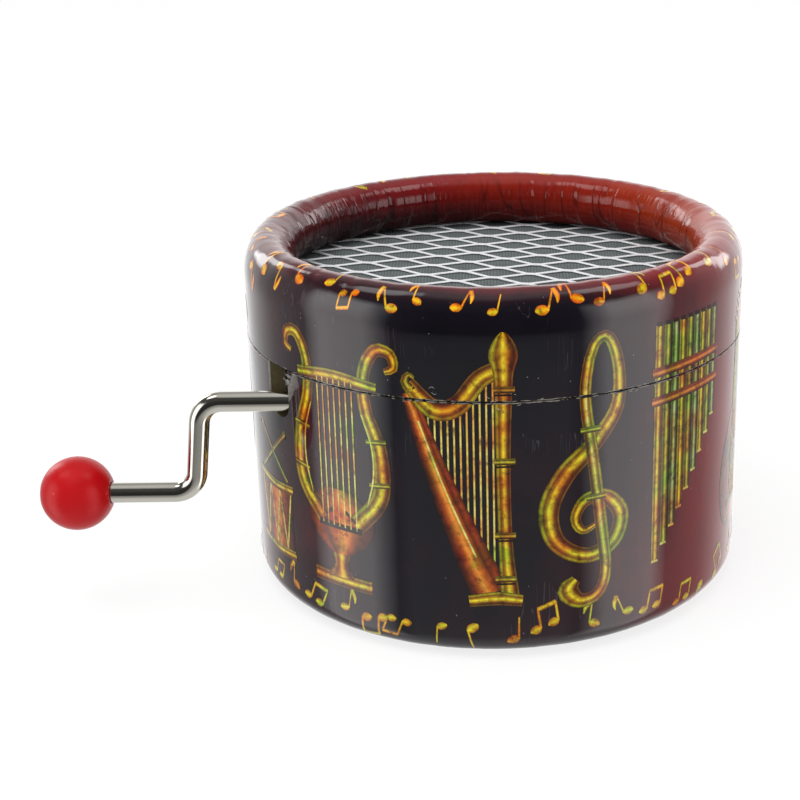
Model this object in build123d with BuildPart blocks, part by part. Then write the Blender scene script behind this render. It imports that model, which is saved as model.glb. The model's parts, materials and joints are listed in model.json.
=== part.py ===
from build123d import *
import os
from math import acos, cos, pi, radians, tan

# A round hand-cranked music box: a paper-covered cardboard tube box with rolled edges,
# a lift-off lid with a mesh grille, and a pinned-drum movement turned by a wire crank.
# Millimetres, +Z up. The origin is the centre of the underside, where the box rests.
# The crank's shaft leaves the wall along -X, in front of the middle; -Y is the front.

# ---------------------------------------------------------------- driving dimensions
# box shell
box_diameter = 70.0
box_height = 50.0
seam_height = 36.0          # top of the base tube, where the lid starts
seam_gap = 0.2
wall = 1.75                 # cardboard of the base and lid tubes
wrap = 0.25                 # printed paper over the cardboard
roll_width = 6.8            # the rolled edge, measured across the wall
rim_outer_rise = 5.5        # height of the lid roll's outer shoulder
rim_inner_rise = 4.0        # half the depth of the lid roll's inner face
foot_outer_rise = 3.2       # the same two sizes of the base roll
foot_inner_rise = 2.6
base_lift = 0.25            # the bottom board stands below the base roll by this much
slip_clearance = 0.2        # neck inside the lid and base
neck_wall = 1.5
neck_gap = 0.2              # between the neck's top and the ring in the lid

# base board and riser block
board_thickness = 3.0
block_height = 8.5
block_inset = 2.0           # the block's edge inside the bedplate's

# grille and what holds it
grille_thickness = 0.35
grille_edge = 1.6           # the mesh's closed edge, hidden under the roll
mesh_long = 9.9             # long diagonal of a mesh diamond
mesh_short = 4.95           # short diagonal
mesh_strand = 0.85
mesh_knuckle = 1.5          # length of the joint between two strands
mesh_turn = -10.5           # degrees, the long diagonal from +X
cloth_thickness = 0.3
ring_thickness = 0.7
ring_width = 4.0

# crank and knob
crank_y = -19.8
crank_z = 31.0
slot_clearance = 0.78       # round the wire in the wall
wire_diameter = 2.8
bend_radius = 3.2           # of the wire's centre line
crank_reach = 4.2           # of the upper elbow, past the box's radius
crank_drop = 13.0
crank_lean = 1.45           # the arm leans outwards by this much
handle_length = 16.1        # lower elbow to the middle of the knob
knob_diameter = 10.0
knob_length = 9.2           # between its two small end flats
knob_wall = 1.6             # left in front of the wire's end
bead_rise = 0.3             # the swaged bead that keeps the knob on
bead_width = 1.0
bead_play = 0.15
end_gap = 0.2               # between the wire's end and the knob's blind end

# fits
running_clearance = 0.05    # shafts in bearings, radial
glue_clearance = 0.02       # pressed and glued joints, radial
thrust_clearance = 0.15     # beside turning pieces, along their shaft
screw_clearance = 0.15      # round screws, radial

# bedplate and brackets
bedplate_thickness = 1.6
bedplate_side = 2.0         # beside the drive bracket and the comb
bedplate_end = 1.0          # past the two posts
bedplate_corner = 3.0
bracket_thickness = 1.2
bracket_head = 1.6          # metal left round a bearing bore
ear_clearance = 0.4         # between the bracket's ears and the gear's tip
bracket_screw_spread = 4.0  # from the gear's middle, along X
foot_length = 5.0

# worm drive
gear_module = 0.6
gear_teeth = 20
gear_width = 3.0
pressure_angle = 20.0
worm_pitch_radius = 3.0
worm_turns = 4
worm_shoulder = 0.8         # plain core past each end of the thread
tooth_thickness = 0.7       # at the pitch line, thinned so that the mesh runs free
root_clearance = 0.2
tip_relief = 0.15
hub_radius = 3.0
hub_length = 1.2
clip_width = 1.0
clip_rise = 1.4             # of the clip and the collars above the wire

# drum
drum_x = -8.0
drum_radius = 6.35
drum_wall = 1.1
drum_length = 21.0
cap_thickness = 1.5
arbor_diameter = 2.2
arbor_overhang = 0.6        # past the outside of its posts
post_gap = 0.8              # from the drum or the gear's hub to its post
pin_diameter = 0.4
pin_rise = 0.65
pin_depth = 0.8             # of a pin in the drum's wall
beats = 24                  # pin rows round the drum

# comb
note_count = 18
note_pitch = 1.0
tine_gap = 0.15             # from the pins' tips to the tines' tips
tine_width = 0.75
tine_thickness = 0.5
tine_long = 10.5
tine_short = 6.5
comb_back = 6.0             # the comb's solid back, behind the longest tine
comb_thickness = 1.0
weight_depth = 1.6          # the lead weights under the bass tines
weight_length = 1.8
weight_setback = 0.6
weight_count = 6

# fasteners
board_screw_diameter = 2.6
board_screw_head = 5.0
board_screw_head_height = 1.3
board_screw_sink = 0.4      # its head lies this deep in the board
board_screw_corner = 3.6    # the west screw, in from the bedplate's edges
comb_screw_diameter = 2.2
comb_screw_head = 4.0
comb_screw_head_height = 1.3
comb_screw_spacing = 11.0
bracket_screw_diameter = 1.6
bracket_screw_head = 2.8
bracket_screw_head_height = 0.8
screw_slot_width = 0.5
screw_slot_depth = 0.4
nut_size = 4.5              # across the flats
nut_height = 1.6
screw_point = 0.4           # of a board screw past its nut

# ---------------------------------------------------------------- worked-out sizes
box_radius = box_diameter / 2
tube_inner_radius = box_radius - wrap - wall
roll_half = roll_width / 2
roll_centre_radius = box_radius - roll_half
roll_inner_radius = box_radius - roll_width
lid_bottom = seam_height + seam_gap
neck_outer_radius = tube_inner_radius - slip_clearance
neck_inner_radius = neck_outer_radius - neck_wall
neck_bottom = base_lift + 2 * foot_inner_rise + glue_clearance
board_radius = roll_inner_radius - glue_clearance

grille_radius = tube_inner_radius - slip_clearance
grille_top = box_height - 2 * rim_inner_rise
grille_bottom = grille_top - grille_thickness
cloth_bottom = grille_bottom - cloth_thickness
ring_bottom = cloth_bottom - ring_thickness
neck_top = ring_bottom - neck_gap

wire_radius = wire_diameter / 2
bearing_radius = wire_radius + running_clearance
slot_radius = wire_radius + slot_clearance
crank_elbow = (-box_radius - crank_reach, crank_y, crank_z)
crank_knee = (crank_elbow[0] - crank_lean, crank_y, crank_z - crank_drop)
knob_x = crank_knee[0] - handle_length
knob_z = crank_knee[2]
wire_tip_x = knob_x - knob_length / 2 + knob_wall + end_gap

bedplate_bottom = board_thickness + block_height
bedplate_top = bedplate_bottom + bedplate_thickness
bracket_floor = bedplate_top + bracket_thickness

gear_pitch_radius = gear_module * gear_teeth / 2
gear_base_radius = gear_pitch_radius * cos(radians(pressure_angle))
gear_tip_radius = gear_pitch_radius + gear_module - tip_relief
gear_root_radius = gear_pitch_radius - gear_module - root_clearance
centre_distance = gear_pitch_radius + worm_pitch_radius
worm_lead = pi * gear_module
worm_tip_radius = worm_pitch_radius + gear_module
worm_root_radius = centre_distance - gear_tip_radius - root_clearance
worm_length = worm_turns * worm_lead + 2 * worm_shoulder
lead_slope = worm_lead / (2 * pi * worm_pitch_radius)
ear_inside = gear_tip_radius + ear_clearance
ear_outside = ear_inside + bracket_thickness
collar_length = ear_inside - worm_length / 2 - thrust_clearance
shaft_end_x = drum_x + ear_outside + thrust_clearance + 2 * clip_width

drum_z = crank_z - centre_distance
arbor_radius = arbor_diameter / 2
arbor_bearing_radius = arbor_radius + running_clearance
gear_south = crank_y - gear_width / 2
gear_north = crank_y + gear_width / 2
drum_south = gear_north + hub_length
drum_north = drum_south + drum_length
drum_mid = (drum_south + drum_north) / 2
south_post_north = gear_south - hub_length - post_gap
south_post_south = south_post_north - bracket_thickness
north_post_south = drum_north + post_gap
north_post_north = north_post_south + bracket_thickness
arbor_south = south_post_south - arbor_overhang
arbor_north = north_post_north + arbor_overhang
pin_tip_radius = drum_radius + pin_rise

tine_tip_x = drum_x + pin_tip_radius + tine_gap
comb_root_x = tine_tip_x + tine_long
comb_end_x = comb_root_x + comb_back
comb_hole_x = comb_root_x + comb_back / 2
comb_width = note_pitch * (note_count - 1) + tine_width
comb_south = drum_mid - comb_width / 2
comb_north = drum_mid + comb_width / 2
comb_top = drum_z + tine_thickness / 2
comb_bottom = comb_top - comb_thickness
tine_step = (tine_long - tine_short) / (note_count - 1)

bedplate_west = drum_x - ear_outside - bedplate_side
bedplate_east = comb_end_x + bedplate_side
bedplate_south = south_post_south - bedplate_end
bedplate_north = north_post_north + foot_length + bedplate_end
bedplate_length = bedplate_east - bedplate_west
bedplate_width = bedplate_north - bedplate_south
bedplate_middle = ((bedplate_west + bedplate_east) / 2, (bedplate_south + bedplate_north) / 2)

comb_screw_spots = [
    (comb_hole_x, drum_mid - comb_screw_spacing / 2),
    (comb_hole_x, drum_mid + comb_screw_spacing / 2),
]
drive_screw_spots = [
    (drum_x - bracket_screw_spread, crank_y),
    (drum_x + bracket_screw_spread, crank_y),
]
post_screw_spots = [(drum_x, north_post_north + foot_length / 2)]
nut_x = (tine_tip_x + comb_root_x) / 2
board_screw_spots = [
    (nut_x, comb_south + nut_size / 2),
    (nut_x, comb_north - nut_size / 2),
    (bedplate_west + board_screw_corner, bedplate_north - board_screw_corner),
]


def save(builder, name):
    """Label the finished piece and write it to its own file."""
    builder.part.label = name
    export_step(builder.part, f"parts/{name}.step")


os.makedirs("parts", exist_ok=True)


# ---------------------------------------------------------------- the box shell
def draw_rolled_line(inset, shoulder_z, up, outer_rise, inner_rise, open_z):
    """One line of a rolled edge's half section: from the tube's open end over the roll to
    its curled-in lip. The inset moves it into the material. It gives back its two ends."""
    across = roll_half - inset
    outer_height = outer_rise - inset
    inner_height = inner_rise - inset
    inner_z = shoulder_z + up * (outer_rise - inner_rise)
    quarter = up * 90
    Line((roll_centre_radius + across, open_z), (roll_centre_radius + across, shoulder_z))
    EllipticalCenterArc((roll_centre_radius, shoulder_z), across, outer_height, 0,
                        arc_size=quarter)
    EllipticalCenterArc((roll_centre_radius, inner_z), across, inner_height, quarter,
                        arc_size=quarter)
    EllipticalCenterArc((roll_centre_radius, inner_z), across, inner_height, 2 * quarter,
                        arc_size=quarter)
    open_end = (roll_centre_radius + across, open_z)
    lip = (roll_centre_radius, inner_z - up * inner_height)
    return open_end, lip


def draw_rolled_section(outer_inset, inner_inset, *roll):
    """The closed half section between two lines of one rolled edge."""
    outer_open, outer_lip = draw_rolled_line(outer_inset, *roll)
    inner_open, inner_lip = draw_rolled_line(inner_inset, *roll)
    Line(outer_open, inner_open)
    Line(outer_lip, inner_lip)


lid_roll = (box_height - rim_outer_rise, 1, rim_outer_rise, rim_inner_rise, lid_bottom)
base_roll = (base_lift + foot_outer_rise, -1, foot_outer_rise, foot_inner_rise, seam_height)

# the cutter for the crank's slot: round below the wire, open at the top
with BuildPart() as crank_slot:
    with BuildSketch(Plane.YZ.offset(-box_radius - wall)):
        with Locations((crank_y, crank_z)):
            Circle(slot_radius)
            Rectangle(2 * slot_radius, box_height, align=(Align.CENTER, Align.MIN))
    extrude(amount=box_radius)

with BuildPart() as base_tube:
    with BuildSketch(Plane.XZ):
        with BuildLine():
            draw_rolled_section(wrap, wrap + wall, *base_roll)
        make_face()
    revolve(axis=Axis.Z)
    add(crank_slot.part, mode=Mode.SUBTRACT)
save(base_tube, "base_tube")

with BuildPart() as base_wrap:
    with BuildSketch(Plane.XZ):
        with BuildLine():
            draw_rolled_section(0, wrap, *base_roll)
        make_face()
    revolve(axis=Axis.Z)
    add(crank_slot.part, mode=Mode.SUBTRACT)
save(base_wrap, "base_wrap")

with BuildPart() as neck_tube:
    with BuildSketch(Plane.XY.offset(neck_bottom)):
        Circle(neck_outer_radius)
        Circle(neck_inner_radius, mode=Mode.SUBTRACT)
    extrude(amount=neck_top - neck_bottom)
    add(crank_slot.part, mode=Mode.SUBTRACT)
save(neck_tube, "neck_tube")

with BuildPart() as lid_tube:
    with BuildSketch(Plane.XZ):
        with BuildLine():
            draw_rolled_section(wrap, wrap + wall, *lid_roll)
        make_face()
    revolve(axis=Axis.Z)
save(lid_tube, "lid_tube")

with BuildPart() as lid_wrap:
    with BuildSketch(Plane.XZ):
        with BuildLine():
            draw_rolled_section(0, wrap, *lid_roll)
        make_face()
    revolve(axis=Axis.Z)
save(lid_wrap, "lid_wrap")


# ---------------------------------------------------------------- grille
def mesh_spots():
    """The middles of the mesh's diamonds, in rows that are set off by half a diamond."""
    rows = int(2 * grille_radius / mesh_short) + 1
    columns = int(grille_radius / mesh_long) + 1
    for row in range(-rows, rows + 1):
        for column in range(-columns, columns + 1):
            shift = mesh_long / 2 if row % 2 else 0
            yield column * mesh_long + shift, row * mesh_short / 2


strand_slope = (mesh_short / 2) / (mesh_long / 2 - mesh_knuckle)
strand_cos = 1 / (1 + strand_slope ** 2) ** 0.5
hole_top = (mesh_short - mesh_strand) / 2
hole_side = (mesh_long - mesh_knuckle) / 2 - mesh_strand / (2 * strand_slope * strand_cos)
hole_flat = hole_side - hole_top / strand_slope
hole_outline = [
    (hole_side, 0),
    (hole_flat, hole_top),
    (-hole_flat, hole_top),
    (-hole_side, 0),
    (-hole_flat, -hole_top),
    (hole_flat, -hole_top),
]
smallest_hole = hole_top * (hole_side + hole_flat) / 4   # an eighth of a whole one

with BuildSketch() as diamonds:
    with Locations(*mesh_spots()):
        Polygon(*hole_outline, align=None)
    Circle(grille_radius - grille_edge, mode=Mode.INTERSECT)
mesh_holes = [hole for hole in diamonds.faces() if hole.area > smallest_hole]

with BuildPart() as grille:
    with BuildSketch(Plane.XY.offset(grille_bottom)):
        Circle(grille_radius)
        add(mesh_holes, rotation=mesh_turn, mode=Mode.SUBTRACT)
    extrude(amount=grille_thickness)
save(grille, "grille")
print("mesh holes", len(mesh_holes))

with BuildPart() as grille_cloth:
    with BuildSketch(Plane.XY.offset(cloth_bottom)):
        Circle(grille_radius)
    extrude(amount=cloth_thickness)
save(grille_cloth, "grille_cloth")

with BuildPart() as grille_ring:
    with BuildSketch(Plane.XY.offset(ring_bottom)):
        Circle(tube_inner_radius - glue_clearance)
        Circle(tube_inner_radius - ring_width, mode=Mode.SUBTRACT)
    extrude(amount=ring_thickness)
save(grille_ring, "grille_ring")

# ---------------------------------------------------------------- board, block, bedplate
with BuildPart() as bottom_board:
    with BuildSketch():
        Circle(board_radius)
    extrude(amount=board_thickness)
    with Locations(*[Location((x, y, 0), (180, 0, 0)) for x, y in board_screw_spots]):
        CounterBoreHole(
            radius=board_screw_diameter / 2 + screw_clearance,
            counter_bore_radius=board_screw_head / 2 + screw_clearance,
            counter_bore_depth=board_screw_sink + board_screw_head_height,
        )
save(bottom_board, "bottom_board")

with BuildPart() as riser_block:
    with BuildSketch(Plane.XY.offset(board_thickness)):
        with Locations(bedplate_middle):
            block = Rectangle(bedplate_length - 2 * block_inset, bedplate_width - 2 * block_inset)
        chamfer(block.vertices(), bedplate_corner)
    extrude(amount=block_height)
    with Locations(*[(x, y, bedplate_bottom) for x, y in board_screw_spots]):
        Hole(board_screw_diameter / 2 + screw_clearance)
save(riser_block, "riser_block")

with BuildPart() as bedplate:
    with BuildSketch(Plane.XY.offset(bedplate_bottom)):
        with Locations(bedplate_middle):
            plate = Rectangle(bedplate_length, bedplate_width)
        chamfer(plate.vertices(), bedplate_corner)
        with Locations(*board_screw_spots):
            Circle(board_screw_diameter / 2 + screw_clearance, mode=Mode.SUBTRACT)
        with Locations(*comb_screw_spots):
            Circle(comb_screw_diameter / 2 + screw_clearance, mode=Mode.SUBTRACT)
        with Locations(*drive_screw_spots, *post_screw_spots):
            Circle(bracket_screw_diameter / 2 + screw_clearance, mode=Mode.SUBTRACT)
    extrude(amount=bedplate_thickness)
save(bedplate, "bedplate")


# ---------------------------------------------------------------- fasteners
def slotted_screw(shank_radius, shank_length, head_radius, head_height):
    """A screw with its head's seat at the origin, the head above it, the shank below."""
    with BuildPart() as screw:
        with BuildSketch():
            Circle(head_radius)
        extrude(amount=head_height)
        with BuildSketch():
            Circle(shank_radius)
        extrude(amount=-shank_length)
        with BuildSketch(Plane.XY.offset(head_height)):
            Rectangle(2 * head_radius, screw_slot_width)
        extrude(amount=-screw_slot_depth, mode=Mode.SUBTRACT)
    return screw.part


board_seat = board_screw_sink + board_screw_head_height
board_screw_length = bedplate_top + nut_height + screw_point - board_seat
board_screw = slotted_screw(board_screw_diameter / 2, board_screw_length,
                            board_screw_head / 2, board_screw_head_height)
comb_screw = slotted_screw(comb_screw_diameter / 2, comb_top - bedplate_bottom,
                           comb_screw_head / 2, comb_screw_head_height)
bracket_screw = slotted_screw(bracket_screw_diameter / 2, bracket_floor - bedplate_bottom,
                              bracket_screw_head / 2, bracket_screw_head_height)

with BuildPart() as board_screws:
    with Locations(*[Location((x, y, board_seat), (180, 0, 0)) for x, y in board_screw_spots]):
        add(board_screw)
save(board_screws, "board_screws")

with BuildPart() as board_nuts:
    with BuildSketch(Plane.XY.offset(bedplate_top)):
        with Locations(*board_screw_spots):
            RegularPolygon(nut_size / 2, 6, major_radius=False)
            Circle(board_screw_diameter / 2 + glue_clearance, mode=Mode.SUBTRACT)
    extrude(amount=nut_height)
save(board_nuts, "board_nuts")

with BuildPart() as comb_screws:
    with Locations(*[(x, y, comb_top) for x, y in comb_screw_spots]):
        add(comb_screw)
save(comb_screws, "comb_screws")

with BuildPart() as bracket_screws:
    with Locations(*[(x, y, bracket_floor) for x, y in drive_screw_spots + post_screw_spots]):
        add(bracket_screw)
save(bracket_screws, "bracket_screws")

# ---------------------------------------------------------------- brackets
crank_head = bearing_radius + bracket_head
arbor_head = arbor_bearing_radius + bracket_head

# one folded plate: a floor under the gear, two ears for the crank, a post for the arbor
with BuildPart() as drive_bracket:
    with BuildSketch(Plane.XY.offset(bedplate_top)):
        with Locations((drum_x, south_post_south)):
            Rectangle(2 * ear_outside, crank_y + crank_head - south_post_south,
                      align=(Align.CENTER, Align.MIN))
        with Locations(*drive_screw_spots):
            Circle(bracket_screw_diameter / 2 + screw_clearance, mode=Mode.SUBTRACT)
    extrude(amount=bracket_thickness)
    for ear_x in (drum_x - ear_outside, drum_x + ear_inside):
        with BuildSketch(Plane.YZ.offset(ear_x)):
            with Locations((crank_y, bedplate_top)):
                Rectangle(2 * crank_head, crank_z - bedplate_top, align=(Align.CENTER, Align.MIN))
            with Locations((crank_y, crank_z)):
                Circle(crank_head)
                Circle(bearing_radius, mode=Mode.SUBTRACT)
        extrude(amount=bracket_thickness)
    with BuildSketch(Plane.XZ.offset(-south_post_north)):
        with Locations((drum_x, bedplate_top)):
            Rectangle(2 * arbor_head, drum_z - bedplate_top, align=(Align.CENTER, Align.MIN))
        with Locations((drum_x, drum_z)):
            Circle(arbor_head)
            Circle(arbor_bearing_radius, mode=Mode.SUBTRACT)
    extrude(amount=bracket_thickness)
save(drive_bracket, "drive_bracket")

# the drum's north bearing: a post with a foot
with BuildPart() as arbor_post:
    with BuildSketch(Plane.XY.offset(bedplate_top)):
        with Locations((drum_x, north_post_south)):
            Rectangle(2 * arbor_head, bracket_thickness + foot_length,
                      align=(Align.CENTER, Align.MIN))
        with Locations(*post_screw_spots):
            Circle(bracket_screw_diameter / 2 + screw_clearance, mode=Mode.SUBTRACT)
    extrude(amount=bracket_thickness)
    with BuildSketch(Plane.XZ.offset(-north_post_north)):
        with Locations((drum_x, bedplate_top)):
            Rectangle(2 * arbor_head, drum_z - bedplate_top, align=(Align.CENTER, Align.MIN))
        with Locations((drum_x, drum_z)):
            Circle(arbor_head)
            Circle(arbor_bearing_radius, mode=Mode.SUBTRACT)
    extrude(amount=bracket_thickness)
save(arbor_post, "arbor_post")

# ---------------------------------------------------------------- comb
with BuildPart() as comb_anvil:
    with BuildSketch(Plane.XY.offset(bedplate_top)):
        with Locations((comb_hole_x, drum_mid)):
            Rectangle(comb_back, comb_width)
        with Locations(*comb_screw_spots):
            Circle(comb_screw_diameter / 2 + screw_clearance, mode=Mode.SUBTRACT)
    extrude(amount=comb_bottom - bedplate_top)
save(comb_anvil, "comb_anvil")


def tine_y(note):
    return comb_south + tine_width / 2 + note * note_pitch


def tine_length(note):
    return tine_long - note * tine_step


with BuildPart() as comb:
    with BuildSketch(Plane.XY.offset(comb_bottom)):
        Polygon(
            (comb_root_x, comb_south),
            (comb_end_x, comb_south),
            (comb_end_x, comb_north),
            (tine_tip_x + tine_short, comb_north),
            align=None,
        )
        with Locations(*comb_screw_spots):
            Circle(comb_screw_diameter / 2 + screw_clearance, mode=Mode.SUBTRACT)
    extrude(amount=comb_thickness)
    with BuildSketch(Plane.XY.offset(comb_top - tine_thickness)):
        for note in range(note_count):
            with Locations((tine_tip_x, tine_y(note))):
                Rectangle(tine_length(note) + tine_width, tine_width,
                          align=(Align.MIN, Align.CENTER))
    extrude(amount=tine_thickness)
save(comb, "comb")

with BuildPart() as comb_weights:
    with BuildSketch(Plane.XY.offset(comb_top - tine_thickness)):
        for note in range(weight_count):
            with Locations((tine_tip_x + weight_setback, tine_y(note))):
                Rectangle(weight_length, tine_width, align=(Align.MIN, Align.CENTER))
    extrude(amount=-weight_depth)
save(comb_weights, "comb_weights")

# ---------------------------------------------------------------- drum
drum_start = Plane(origin=(drum_x, drum_south, drum_z), x_dir=(0, 0, 1), z_dir=(0, 1, 0))

with BuildPart() as drum_shell:
    with BuildSketch(drum_start):
        Circle(drum_radius)
        Circle(drum_radius - drum_wall, mode=Mode.SUBTRACT)
    extrude(amount=drum_length)
save(drum_shell, "drum_shell")

with BuildPart() as drum_caps:
    for start in (0, drum_length - cap_thickness):
        with BuildSketch(drum_start.offset(start)):
            Circle(drum_radius - drum_wall - glue_clearance)
            Circle(arbor_radius + glue_clearance, mode=Mode.SUBTRACT)
        extrude(amount=cap_thickness)
save(drum_caps, "drum_caps")


def tune():
    """The beat and the note of each pin: rising and falling broken chords."""
    for beat in range(beats):
        root = (5 * (beat // 4)) % 7
        climb = beat % 4 if (beat // 4) % 2 == 0 else 3 - beat % 4
        yield beat, (root + 3 * climb) % note_count
        if beat % 2 == 0:
            yield beat, (root + 3 * climb + 9) % note_count
        if beat % 4 == 0:
            yield beat, (root + 4) % weight_count


with BuildPart() as drum_pins:
    for beat, note in tune():
        turn = Rot(0, 360 * beat / beats, 0)
        foot = Pos(drum_x, tine_y(note), drum_z) * turn * Pos(0, 0, drum_radius - pin_depth)
        with Locations(foot):
            Cylinder(pin_diameter / 2, pin_depth + pin_rise,
                     align=(Align.CENTER, Align.CENTER, Align.MIN))
save(drum_pins, "drum_pins")

with BuildPart() as drum_arbor:
    with BuildSketch(Plane.XZ.offset(-arbor_south)):
        with Locations((drum_x, drum_z)):
            Circle(arbor_radius)
    extrude(amount=arbor_south - arbor_north)
save(drum_arbor, "drum_arbor")


# ---------------------------------------------------------------- worm drive
def involute(radius):
    """The involute function at a radius of the gear, 0 at and below its base circle."""
    angle = acos(min(1, gear_base_radius / radius))
    return tan(angle) - angle


def half_tooth(radius):
    """Half the gear tooth's thickness at a radius."""
    half_angle = tooth_thickness / (2 * gear_pitch_radius)
    return radius * (half_angle + involute(gear_pitch_radius) - involute(radius))


tooth_radii = (
    gear_root_radius - root_clearance,
    gear_base_radius,
    gear_pitch_radius,
    gear_tip_radius,
)
tooth_right = [(radius, half_tooth(radius)) for radius in tooth_radii]
tooth_left = [(radius, -half_tooth(radius)) for radius in reversed(tooth_radii)]
gear_middle = Plane(origin=(drum_x, crank_y, drum_z), x_dir=(0, 0, 1), z_dir=(0, 1, 0))
gear_face = Plane.XY.offset(-gear_width / 2)

# one tooth across the face, slanted as the worm's thread crosses it
with BuildPart() as gear_tooth:
    with BuildSketch(gear_face):
        with Locations((0, -lead_slope * gear_width / 2)):
            Polygon(*tooth_right, *tooth_left, align=None)
    extrude(amount=gear_width * (1 + lead_slope ** 2) ** 0.5, dir=(0, lead_slope, 1))

with BuildPart() as gear_blank:
    with BuildSketch(gear_face):
        Circle(gear_root_radius)
    extrude(amount=gear_width)
    with PolarLocations(0, gear_teeth, start_angle=180 / gear_teeth):
        add(gear_tooth.part)
    with BuildSketch(gear_face.offset(-hub_length)):
        Circle(hub_radius)
    extrude(amount=gear_width + 2 * hub_length)
    with BuildSketch(gear_face.offset(-hub_length)):
        Circle(arbor_radius + glue_clearance)
    extrude(amount=gear_width + 2 * hub_length, mode=Mode.SUBTRACT)

with BuildPart() as drum_gear:
    with Locations(gear_middle.location):
        add(gear_blank.part)
save(drum_gear, "drum_gear")


def half_thread(radius):
    """Half the worm thread's thickness at a radius."""
    return tooth_thickness / 2 - (radius - worm_pitch_radius) * tan(radians(pressure_angle))


thread_foot = worm_root_radius - root_clearance
thread_start = -worm_turns * worm_lead / 2
thread_slope = worm_lead / (2 * pi * thread_foot)
thread_plane = Plane(
    origin=(thread_foot, 0, thread_start),
    x_dir=(1, 0, 0),
    z_dir=(0, 1, thread_slope),
)
worm_middle = Plane(origin=(drum_x, crank_y, crank_z), x_dir=(0, 0, -1), z_dir=(1, 0, 0))

with BuildPart() as worm_blank:
    with BuildLine():
        thread_path = Helix(worm_lead, worm_turns * worm_lead, thread_foot,
                            center=(0, 0, thread_start))
    with BuildSketch(thread_plane):
        Polygon(
            (0, half_thread(thread_foot)),
            (0, -half_thread(thread_foot)),
            (worm_tip_radius - thread_foot, -half_thread(worm_tip_radius)),
            (worm_tip_radius - thread_foot, half_thread(worm_tip_radius)),
            align=None,
        )
    sweep(path=thread_path, is_frenet=True)
    Cylinder(worm_root_radius, worm_length)
    Cylinder(wire_radius + glue_clearance, worm_length, mode=Mode.SUBTRACT)

with BuildPart() as worm:
    with Locations(worm_middle.location):
        add(worm_blank.part)
save(worm, "worm")


# ---------------------------------------------------------------- crank
with BuildPart() as shaft_collars:
    for start in (-worm_length / 2 - collar_length, worm_length / 2):
        with BuildSketch(worm_middle.offset(start)):
            Circle(wire_radius + clip_rise)
            Circle(wire_radius + glue_clearance, mode=Mode.SUBTRACT)
        extrude(amount=collar_length)
save(shaft_collars, "shaft_collars")

with BuildPart() as shaft_clip:
    with BuildSketch(worm_middle.offset(ear_outside + thrust_clearance)):
        Circle(wire_radius + clip_rise)
        Circle(wire_radius + glue_clearance, mode=Mode.SUBTRACT)
    extrude(amount=clip_width)
save(shaft_clip, "shaft_clip")

with BuildPart() as crank_wire:
    with BuildLine():
        wire_path = FilletPolyline(
            (shaft_end_x, crank_y, crank_z),
            crank_elbow,
            crank_knee,
            (wire_tip_x, crank_y, knob_z),
            radius=bend_radius,
        )
    with BuildSketch(Plane(origin=wire_path @ 0, z_dir=wire_path % 0)):
        Circle(wire_radius)
    sweep(path=wire_path)
    with BuildSketch(Plane.YZ.offset(wire_tip_x)):
        with Locations((crank_y, knob_z)):
            Circle(wire_radius + bead_rise)
    extrude(amount=bead_width)
save(crank_wire, "crank_wire")

knob_middle = Plane(origin=(knob_x, crank_y, knob_z), x_dir=(0, 1, 0), z_dir=(1, 0, 0))
bore_end = wire_tip_x - end_gap - knob_x

with BuildPart() as knob_blank:
    Sphere(knob_diameter / 2)
    Box(knob_diameter, knob_diameter, knob_length, mode=Mode.INTERSECT)
    with BuildSketch(Plane.XY.offset(bore_end)):
        Circle(bearing_radius)
    extrude(amount=knob_length, mode=Mode.SUBTRACT)
    with BuildSketch(Plane.XY.offset(bore_end)):
        Circle(bearing_radius + bead_rise)
    extrude(amount=end_gap + bead_width + bead_play, mode=Mode.SUBTRACT)

with BuildPart() as knob:
    with Locations(knob_middle.location):
        add(knob_blank.part)
save(knob, "knob")

print("worm centre distance", centre_distance, "arbor height", drum_z)
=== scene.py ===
# %% [markdown]
# # A hand-cranked music box in a round card box
# The real object is a small box of rolled cardboard under glossy printed paper. A bent wire
# crank with a red ball turns a brass drum inside, and a disc of expanded metal lets the sound
# out at the top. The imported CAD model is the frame: it holds every size and every joint. This
# script gives each piece its finish, and builds finer shapes where the eye comes close.

# %% Load the frame
import json
import math
import random

import bmesh
import bpy
import numpy as np
from mathutils import Matrix, Vector

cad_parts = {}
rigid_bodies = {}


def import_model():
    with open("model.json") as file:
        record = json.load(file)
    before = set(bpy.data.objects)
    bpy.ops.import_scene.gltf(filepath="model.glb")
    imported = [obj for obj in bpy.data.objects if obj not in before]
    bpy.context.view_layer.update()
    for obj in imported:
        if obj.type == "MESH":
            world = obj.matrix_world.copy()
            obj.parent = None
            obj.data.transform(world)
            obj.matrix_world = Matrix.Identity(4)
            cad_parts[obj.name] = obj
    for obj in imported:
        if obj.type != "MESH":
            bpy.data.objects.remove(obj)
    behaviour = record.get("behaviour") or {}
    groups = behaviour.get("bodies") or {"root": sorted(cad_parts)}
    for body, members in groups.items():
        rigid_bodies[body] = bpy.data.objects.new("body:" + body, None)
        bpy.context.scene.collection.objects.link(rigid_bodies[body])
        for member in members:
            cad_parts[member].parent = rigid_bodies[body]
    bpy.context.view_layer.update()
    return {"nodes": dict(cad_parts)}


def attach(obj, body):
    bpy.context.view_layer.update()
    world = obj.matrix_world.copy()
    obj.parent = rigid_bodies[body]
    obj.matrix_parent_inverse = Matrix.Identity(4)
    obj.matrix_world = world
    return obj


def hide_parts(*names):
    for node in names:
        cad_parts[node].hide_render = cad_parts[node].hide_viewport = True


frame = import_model()
nodes = frame["nodes"]

# %% [markdown]
# Blender works in metres, but a maker thinks of this box in millimetres. So every size below
# is written in millimetres, and one factor turns it into metres when a mesh is made.

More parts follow.
